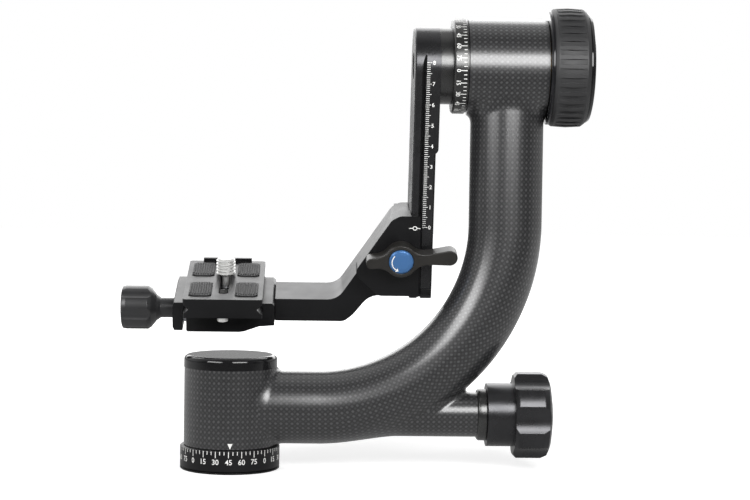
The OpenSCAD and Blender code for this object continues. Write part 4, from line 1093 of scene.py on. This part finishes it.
@dataclass
class CameraScrew:
    """The 3/8 inch camera screw with its rolled thread; its neck and slotted head keep the
    CAD node's form. Sizes in millimetres in the arm's own frame."""

    x: float = -4.3
    y: float = 8.0
    foot_down: float = 107.4
    top_down: float = 99.6
    radius: float = 4.7625
    pitch: float = 1.5875
    depth: float = 0.86
    point: float = 1.0
    # The flanks' steepness, and the flat that they leave on the crest
    flank: float = 2.4
    crest: float = 0.2
    around: int = 48
    rows: int = 118
    smooth_deg: float = 40.0

    def thread(self) -> Shape:
        """Draws the helical thread as rings of points, closed at both ends.

        Returns:
            The points and the faces.
        """
        turn = np.arange(self.around) / self.around
        height = np.linspace(0.0, self.foot_down - self.top_down, self.rows)
        phase = (height[:, None] / self.pitch - turn[None, :]) % 1.0
        flank = np.clip(np.abs(phase - 0.5) * self.flank - self.crest, 0.0, 1.0)
        outer = np.minimum(self.radius, self.radius - self.point + height[-1] - height)
        outer[0] = self.radius - self.depth
        r = np.minimum(self.radius - self.depth * flank, outer[:, None])
        angle = turn[None, :] * math.tau
        level = np.broadcast_to(height[:, None] - self.foot_down, r.shape)
        rings = np.stack([r * np.cos(angle) + self.x, r * np.sin(angle) + self.y, level], axis=2)
        n = self.around
        faces = [
            [k * n + i, k * n + (i + 1) % n, (k + 1) * n + (i + 1) % n, (k + 1) * n + i]
            for k in range(self.rows - 1)
            for i in range(n)
        ]
        ends = [list(range(n - 1, -1, -1)), list(range((self.rows - 1) * n, self.rows * n))]
        return turned(rings.reshape(-1, 3), arm_frame()), faces + ends

    def build(self) -> None:
        """Adds the node's lower part to the thread and stands for the node."""
        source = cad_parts["camera_screw"].data
        own = np.array([v.co[:] for v in source.vertices]) / MM
        axes = np.array(arm_frame())
        down = -(own - axes[:3, 3]) @ axes[:3, 2]
        low = [
            list(p.vertices)
            for p in source.polygons
            if min(down[i] for i in p.vertices) > self.foot_down - 0.01
        ]
        piece = mesh_object("camera_screw_threaded", *joined([self.thread(), (own, low)]), True)
        shape = bmesh.new()
        shape.from_mesh(piece.data)
        bmesh.ops.remove_doubles(shape, verts=shape.verts, dist=MERGE)
        loose = [v for v in shape.verts if not v.link_faces]
        bmesh.ops.delete(shape, geom=loose, context="VERTS")
        soften(shape, self.smooth_deg)
        shape.to_mesh(piece.data)
        shape.free()
        piece.data.materials.append(THREAD_STEEL.material())
        place(piece, Body.SCREW, Slot.STEEL, "camera_screw")


@dataclass
class RibbedPads:
    """Four moulded rubber pads with rounded corners and ribs along the plate."""

    plate_x: float = -4.3
    pad_x: float = 11.1
    pad_y: float = 15.2
    width: float = 10.7
    length: float = 19.6
    corner: float = 2.6
    floor_down: float = 108.35
    top_down: float = 107.4
    ribs: int = 9
    rib_share: float = 0.62
    rib_sides: int = 10
    corner_steps: int = 6

    def moulded(self) -> Object:
        """Makes a rounded slab at four places, with ribs trimmed to its outline.

        Returns:
            The four pads, flat on their floor at the origin.
        """
        lengths = {
            "Width": self.width,
            "Length": self.length,
            "Corner": self.corner,
            "Height": self.floor_down - self.top_down,
            "Half X": self.pad_x,
            "Half Y": self.pad_y,
        }
        others = {
            "Ribs": self.ribs,
            "Rib Share": self.rib_share,
            "Rib Sides": self.rib_sides,
            "Corner Steps": self.corner_steps,
        }
        rule = Rule("ribbed_pads", RUBBER, lengths, others)
        tree, ask = rule.tree, rule.ask
        sides = {"Width": ask["Width"], "Height": ask["Length"]}
        outline = add(tree, "GeometryNodeCurvePrimitiveQuadrilateral", sides)
        corners = {"Curve": outline, "Count": ask["Corner Steps"], "Radius": ask["Corner"]}
        rounded = add(tree, "GeometryNodeFilletCurve", corners, mode="POLY")
        flat = add(tree, "GeometryNodeFillCurve", {"Curve": rounded}, mode="NGONS")
        base_h = add(tree, MATH, {0: ask["Height"], 1: 0.5}, operation="MULTIPLY")
        thick = {"Mesh": flat, "Offset Scale": base_h, "Individual": False}
        slab = add(tree, "GeometryNodeExtrudeMesh", thick)
        # Ribs: long half-round bars, shorter where the corners round off
        step = add(tree, MATH, {0: ask["Width"], 1: ask["Ribs"]}, operation="DIVIDE")
        gaps = add(tree, MATH, {0: ask["Ribs"], 1: 1.0}, operation="SUBTRACT")
        reach = add(tree, MATH, {0: gaps, 1: step}, operation="MULTIPLY")
        first = add(tree, MATH, {0: reach, 1: -0.5}, operation="MULTIPLY")
        start, pitch = add(tree, VECTOR, {0: first, 2: base_h}), add(tree, VECTOR, {0: step})
        row = {"Count": ask["Ribs"], "Start Location": start, "Offset": pitch}
        line = add(tree, "GeometryNodeMeshLine", row)
        rib_w = add(tree, MATH, {0: step, 1: ask["Rib Share"]}, operation="MULTIPLY")
        bar = {"Vertices": ask["Rib Sides"], "Radius": 0.5, "Depth": 1.0}
        profile = add(tree, "GeometryNodeMeshCylinder", bar)
        number = add(tree, "GeometryNodeInputIndex")
        near_low = add(tree, MATH, {0: number, 1: 0.5}, operation="LESS_THAN")
        last = add(tree, MATH, {0: gaps, 1: 0.5}, operation="SUBTRACT")
        near_high = add(tree, MATH, {0: number, 1: last}, operation="GREATER_THAN")
        outermost = add(tree, MATH, {0: near_low, 1: near_high}, operation="MAXIMUM")
        short = {0: ask["Corner"], 1: outermost, 2: ask["Corner"]}
        trim = add(tree, MATH, short, operation="MULTIPLY_ADD")
        reach_y = add(tree, MATH, {0: ask["Length"], 1: trim}, operation="SUBTRACT")
        size = add(tree, VECTOR, {0: rib_w, 1: ask["Height"], 2: reach_y})
        lying = {"Rotation": (math.pi / 2, 0.0, 0.0), "Scale": size}
        ribs = add(tree, COPIES, {"Points": line, "Instance": profile, **lying})
        pad = add(tree, "GeometryNodeJoinGeometry")
        for part in (slab, ribs):
            tree.links.new(part.outputs[0], pad.inputs[0])
        apart = {
            f"Size {way}": add(tree, MATH, {0: ask[f"Half {way}"], 1: 2.0}, operation="MULTIPLY")
            for way in "XY"
        }
        grid = add(tree, GRID, {**apart, "Vertices X": 2, "Vertices Y": 2})
        four = add(tree, COPIES, {"Points": grid, "Instance": pad})
        return rule.grow("plate_pads_ribbed", four)

    def build(self) -> None:
        """Lays the pads in the plate and stands for the CAD node."""
        piece = self.moulded()
        carry(piece, arm_frame() @ Matrix.Translation((self.plate_x, 0, -self.floor_down)))
        place(piece, Body.PLATE, Slot.RUBBER, "plate_pads")


# Scales and index marks


def lay(piece: Object, node: str, into: Vector, lift: float, reach: float = 0.05) -> None:
    """Moves a flat print onto the surface of a CAD node, along the way it was printed.

    Args:
        piece: The print; its vertices are moved.
        node: The CAD node that carries it.
        into: The direction of printing.
        lift: Height of the ink over the surface in millimetres.
        reach: How far the surface may lie from the print, in metres.
    """
    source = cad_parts[node].data
    surface = BVHTree.FromPolygons(
        [v.co for v in source.vertices], [p.vertices for p in source.polygons]
    )
    for vertex in piece.data.vertices:
        hit = surface.ray_cast(vertex.co - into * reach, into, 2 * reach)[0]
        if hit is not None:
            vertex.co = hit - into * lift * MM


@dataclass
class Marks:
    """The printed scale of the rail and the index marks of the housing, jaw and lever. Sizes
    in millimetres."""

    rail_front: float = -18.0
    tick_x: float = 90.6
    zero_down: float = 74.8
    top_cm: int = 8
    tick_lengths: Span = (1.6, 2.4)
    tick_stroke: float = 0.26
    numeral_h: float = 1.9
    numeral_gap: float = 3.4
    jaw_front: float = -20.8
    jaw_place: Span = (87.0, 74.5)
    lever_place: Span = (80.45, 88.5)
    lever_front: float = -31.0
    printed: Print = Print()

    def rail_scale(self) -> None:
        """Prints the rail's millimetre ticks and centimetre numbers."""
        lift = self.printed.lift
        front = arm_face(0, self.rail_front, 0)
        lengths = dict(zip(("Short", "Long"), self.tick_lengths))
        lengths |= {"Pitch": 1.0, "Stroke": self.tick_stroke}
        counts = {"Count": self.top_cm * 10 + 1, "Every": 5}
        ticks = straight_ticks("rail_scale_ticks", lengths, counts)
        carry(ticks, front @ Matrix.Translation((self.tick_x, -self.zero_down, lift)))
        parts = []
        for value in range(self.top_cm + 1):
            points, faces = self.printed.numeral(str(value), self.numeral_h)
            x, y = self.tick_x + self.numeral_gap, value * 10 - self.zero_down
            points += np.array((x, y, lift))
            parts.append((turned(points, front), faces))
        into = arm_frame().to_3x3() @ Vector((0.0, 1.0, 0.0))
        for piece in (ticks, inked("rail_scale_numbers", *joined(parts))):
            lay(piece, "swing_rail", into, lift)
            place(piece, Body.ARM, Slot.BLACK)

    def housing_index(self) -> None:
        """Prints the white triangle over the pan ring."""
        radius, azimuth, half, low, high = 22.03, -87.6, 1.2, 11.7, 14.4
        points = []
        for across, z in ((-half, high), (0.0, low), (half, high)):
            angle = math.radians(azimuth) + across / radius
            points.append((radius * math.cos(angle), radius * math.sin(angle), z))
        place(inked("pan_index_mark", points, [[0, 1, 2]]), Body.YOKE, Slot.BLACK)

    def jaw_index(self) -> None:
        """Prints the jaw's index: a small circle on a level line."""
        radius, stroke, steps, left, right = 1.1, 0.4, 24, -2.8, 2.6
        x, down = self.jaw_place
        ring = []
        for i in range(steps):
            way = np.array((math.cos(math.tau * i / steps), math.sin(math.tau * i / steps), 0))
            ring += [way * radius, way * (radius - stroke)]
        turn = 2 * steps
        band = [[i, (i + 2) % turn, (i + 3) % turn, i + 1] for i in range(0, turn, 2)]
        parts = [(np.array(ring), band)]
        half = stroke / 2
        for a, b in ((left, -radius), (radius, right)):
            bar = [(a, -half, 0), (b, -half, 0), (b, half, 0), (a, half, 0)]
            parts.append((np.array(bar, float), [[0, 1, 2, 3]]))
        points, faces = joined(parts)
        points += np.array((x, -down, self.printed.lift))
        points = turned(points, arm_face(0, self.jaw_front, 0))
        place(inked("jaw_index_mark", points, faces), Body.FRONT_JAW, Slot.BLACK)

    def lever_arrow(self) -> None:
        """Prints the turning arrow on the lever's blue cap: an arc with a head at its end."""
        radius, stroke, low, high, steps = 4.4, 0.42, 135.0, 238.0, 24
        head_half, head_deg = 1.1, 16.0

        def spot(r: float, degrees: float) -> Triple:
            """Gives a point of the cap's face by its radius and angle."""
            angle = math.radians(degrees)
            return (r * math.cos(angle), r * math.sin(angle), 0.0)

        points = [
            spot(r, low + (high - low) * i / steps)
            for i in range(steps + 1)
            for r in (radius - stroke / 2, radius + stroke / 2)
        ]
        faces = [[2 * i + 2, 2 * i + 3, 2 * i + 1, 2 * i] for i in range(steps)]
        start = len(points)
        points += [spot(radius - head_half, high), spot(radius + head_half, high)]
        points.append(spot(radius, high + head_deg))
        faces.append([start + 2, start + 1, start])
        x, down = self.lever_place
        face = arm_face(x, self.lever_front, down)
        piece = inked("lever_arrow_mark", turned(np.array(points), face), faces)
        place(piece, Body.LEVER, Slot.BLUE)

    def build(self) -> None:
        """Prints all the marks."""
        self.rail_scale()
        self.housing_index()
        self.jaw_index()
        self.lever_arrow()


# Camera and studio


@dataclass(frozen=True)
class PhotoCamera:
    """The photograph's camera, solved from the frame's own points."""

    place_mm: Triple = (36.9124, -893.0033, 146.2893)
    yaw_deg: float = 2.0
    pitch_deg: float = 2.66
    roll_deg: float = 0.8
    lens_mm: float = 90.0

    def build(self) -> None:
        """Makes the camera and sets it as the scene's own."""
        yaw, pitch, roll = map(math.radians, (self.yaw_deg, self.pitch_deg, self.roll_deg))
        forward = Vector(
            (math.sin(yaw) * math.cos(pitch), math.cos(yaw) * math.cos(pitch), -math.sin(pitch))
        )
        flat = Vector((math.cos(yaw), -math.sin(yaw), 0.0))
        tall = flat.cross(forward)
        right = flat * math.cos(roll) + tall * math.sin(roll)
        upward = tall * math.cos(roll) - flat * math.sin(roll)
        data = bpy.data.cameras.new("photo_camera")
        data.sensor_fit = "HORIZONTAL"
        data.sensor_width = 36.0
        data.lens = self.lens_mm
        data.clip_end = 20.0
        camera = linked("photo_camera", data)
        turn = Matrix((right, upward, -forward)).transposed().to_4x4()
        camera.matrix_world = Matrix.Translation(Vector(self.place_mm) * MM) @ turn
        bpy.context.scene.camera = camera


@dataclass(frozen=True)
class Softbox:
    """A rectangular studio lamp, aimed at a point; sizes in metres."""

    name: str
    place: Triple
    aim: Triple
    width: float
    height: float
    radiance: float

    def build(self) -> None:
        """Hangs the lamp, with the power that gives its radiance."""
        data = bpy.data.lights.new(self.name, "AREA")
        data.shape = "RECTANGLE"
        data.size = self.width
        data.size_y = self.height
        data.energy = self.radiance * math.pi * self.width * self.height
        lamp = linked(self.name, data)
        towards = Vector(self.aim) - Vector(self.place)
        lamp.location = self.place
        lamp.rotation_euler = towards.to_track_quat("-Z", "Y").to_euler()
        lamp.visible_camera = False


def any_ray(tree: Tree, *kinds: str) -> Any:
    """Adds the test for rays of any of the given kinds.

    Args:
        tree: The node tree.
        *kinds: Camera, Glossy or Transmission.

    Returns:
        The output that is one for such a ray.
    """
    path = add(tree, "ShaderNodeLightPath").outputs
    seen = path[f"Is {kinds[0]} Ray"]
    for kind in kinds[1:]:
        both = {0: seen, 1: path[f"Is {kind} Ray"]}
        seen = add(tree, MATH, both, operation="MAXIMUM").outputs[0]
    return seen


@dataclass(frozen=True)
class Studio:
    """The white table, the white surroundings and the lamps; sizes in metres. Each ramp is
    from low and high, to low and high."""

    floor_size: float = 6.0
    floor_z: float = -0.00005
    # The table's glow by the distance from the object, so that its shadow shows
    glow: tuple[float, ...] = (0.18, 0.75, 0.5, 1.0)
    # The operator's side of a studio is dark, and gloss on the front faces shows that: the share
    # of the table that gloss does not see, along Y
    dark: tuple[float, ...] = (-0.3, 0.05, 0.95, 0.6)
    # What gloss sees of the hall, from the operator's side to the back
    hall: tuple[float, ...] = (-0.35, 0.1, 0.06, 0.65)
    # Near the horizon the hall is darker than overhead, so tube edges stay dark
    overhead: tuple[float, ...] = (-0.03, 0.2, 0.3, 1.0)
    # How strongly the hall lights the object
    ambient: float = 0.25
    lamps: tuple[Softbox, ...] = (
        Softbox("left_box", (-0.31, -0.38, 0.31), (0.06, 0.0, 0.13), 0.34, 0.2, 8.6),
        Softbox("right_box", (0.225, -0.45, 0.31), (0.08, 0.0, 0.13), 0.34, 0.22, 10.0),
        Softbox("back_panel", (0.0, 0.9, 0.68), (0.04, 0.0, 0.1), 1.6, 0.9, 2.2),
        Softbox("low_panel", (0.08, 1.1, 0.16), (0.08, 0.0, 0.13), 0.14, 0.3, 1.6),
    )

    def floor(self) -> None:
        """Lays the table, white to the eye, and keeps the object's shadow on it."""
        half, z = self.floor_size / 2 / MM, self.floor_z / MM
        corners = [(-half, -half, z), (half, -half, z), (half, half, z), (-half, half, z)]
        piece = mesh_object("studio_floor", corners, [[0, 1, 2, 3]])
        made = bpy.data.materials.new("white_paper_floor")
        made.use_nodes = True
        tree = made.node_tree
        tree.nodes.clear()
        spot = add(tree, "ShaderNodeTexCoord").outputs["Object"]
        away = add(tree, "ShaderNodeVectorMath", {0: spot}, operation="LENGTH").outputs["Value"]
        level = add(tree, RANGE, span(away, *self.glow))
        seen = any_ray(tree, "Camera", "Glossy", "Transmission")
        strength = add(tree, MATH, {0: level, 1: seen}, operation="MULTIPLY")
        dark = add(tree, RANGE, span(add(tree, PARTS, {0: spot}).outputs[1], *self.dark))
        hidden = add(tree, MATH, {0: dark, 1: any_ray(tree, "Glossy")}, operation="MULTIPLY")
        paper = add(tree, "ShaderNodeBsdfDiffuse", {"Color": linear("#dcdcdc")})
        white = {"Color": linear("#ffffff"), "Strength": strength}
        light = add(tree, "ShaderNodeEmission", white)
        both = add(tree, "ShaderNodeAddShader", {0: paper, 1: light})
        unlit = add(tree, "ShaderNodeEmission", {"Color": linear("#000000")})
        shown = add(tree, "ShaderNodeMixShader", {0: hidden, 1: both, 2: unlit})
        add(tree, "ShaderNodeOutputMaterial", {"Surface": shown})
        piece.data.materials.append(made)

    def world(self) -> None:
        """Makes the surroundings: white to the camera, a soft white hall to gloss."""
        scene = bpy.context.scene
        scene.world = scene.world or bpy.data.worlds.new("studio_world")
        scene.world.use_nodes = True
        tree = scene.world.node_tree
        tree.nodes.clear()
        where = add(tree, "ShaderNodeTexCoord").outputs["Generated"]
        parts = add(tree, PARTS, {0: where}).outputs
        behind = add(tree, RANGE, span(parts[1], *self.hall))
        height = add(tree, RANGE, span(parts[2], *self.overhead))
        hall = add(tree, MATH, {0: behind, 1: height}, operation="MULTIPLY")
        seen = any_ray(tree, "Glossy", "Transmission")
        gloss = add(tree, MIX, {0: seen, 2: self.ambient, 3: hall})
        level = add(tree, MIX, {0: any_ray(tree, "Camera"), 2: gloss, 3: 1.0})
        white = {"Color": linear("#ffffff"), "Strength": level}
        sky = add(tree, "ShaderNodeBackground", white)
        add(tree, "ShaderNodeOutputWorld", {"Surface": sky})

    def build(self) -> None:
        """Lays the floor, makes the world and hangs the lamps."""
        self.floor()
        self.world()
        for lamp in self.lamps:
            lamp.build()
        bpy.context.scene.view_settings.view_transform = "Standard"


def main() -> None:
    """Builds the looks in order and reports each piece."""
    logging.basicConfig(level=logging.INFO, format="%(name)s %(message)s")
    PhotoCamera().build()
    Studio().build()
    for finish, nodes in FINISHES.items():
        for name in nodes:
            dress(name, finish)
    YokeShell().build()
    pan = Matrix.Identity(4)
    tilt = Matrix.Translation((0, 0, TILT_Z)) @ Matrix.Rotation(math.pi / 2, 4, "Y")
    for dial in (
        Dial("pan_dial", Body.BASE, pan, radius=23.7, top=10.9, short=1.7, numeral_z=5.9,
             numeral_h=2.5, zero_deg=-134.15),
        Dial("tilt_dial", Body.ARM, tilt, radius=22.5, top=109.1, short=1.5, numeral_z=105.2,
             numeral_h=2.0, zero_deg=-82.1),
    ):
        dial.build()
    Marks().build()
    for part in (
        Eased("rail_machined", "swing_rail", Body.ARM, MACHINED_BLACK, 0.4),
        Eased("bracket_machined", "platform_bracket", Body.BRACKET, width=0.5),
        Eased("jaw_machined", "rail_jaw", Body.FRONT_JAW, width=0.8),
        Eased("lever_cast", "height_lever", Body.LEVER, CAST_LEVER, 1.4, segments=3),
        Eased("clamp_machined", "clamp_base", Body.BRACKET, width=0.35),
        Eased("clamp_jaw_machined", "clamp_jaw", Body.MOVING_JAW, width=0.35),
        Eased("plate_machined", "quick_plate", Body.PLATE, width=0.3),
        Eased("lock_knob_moulded", "pan_lock_knob", Body.PAN_KNOB, MACHINED_BLACK, 0.7),
    ):
        part.build()
    CameraScrew().build()
    RibbedPads().build()


if __name__ == "__main__":
    main()
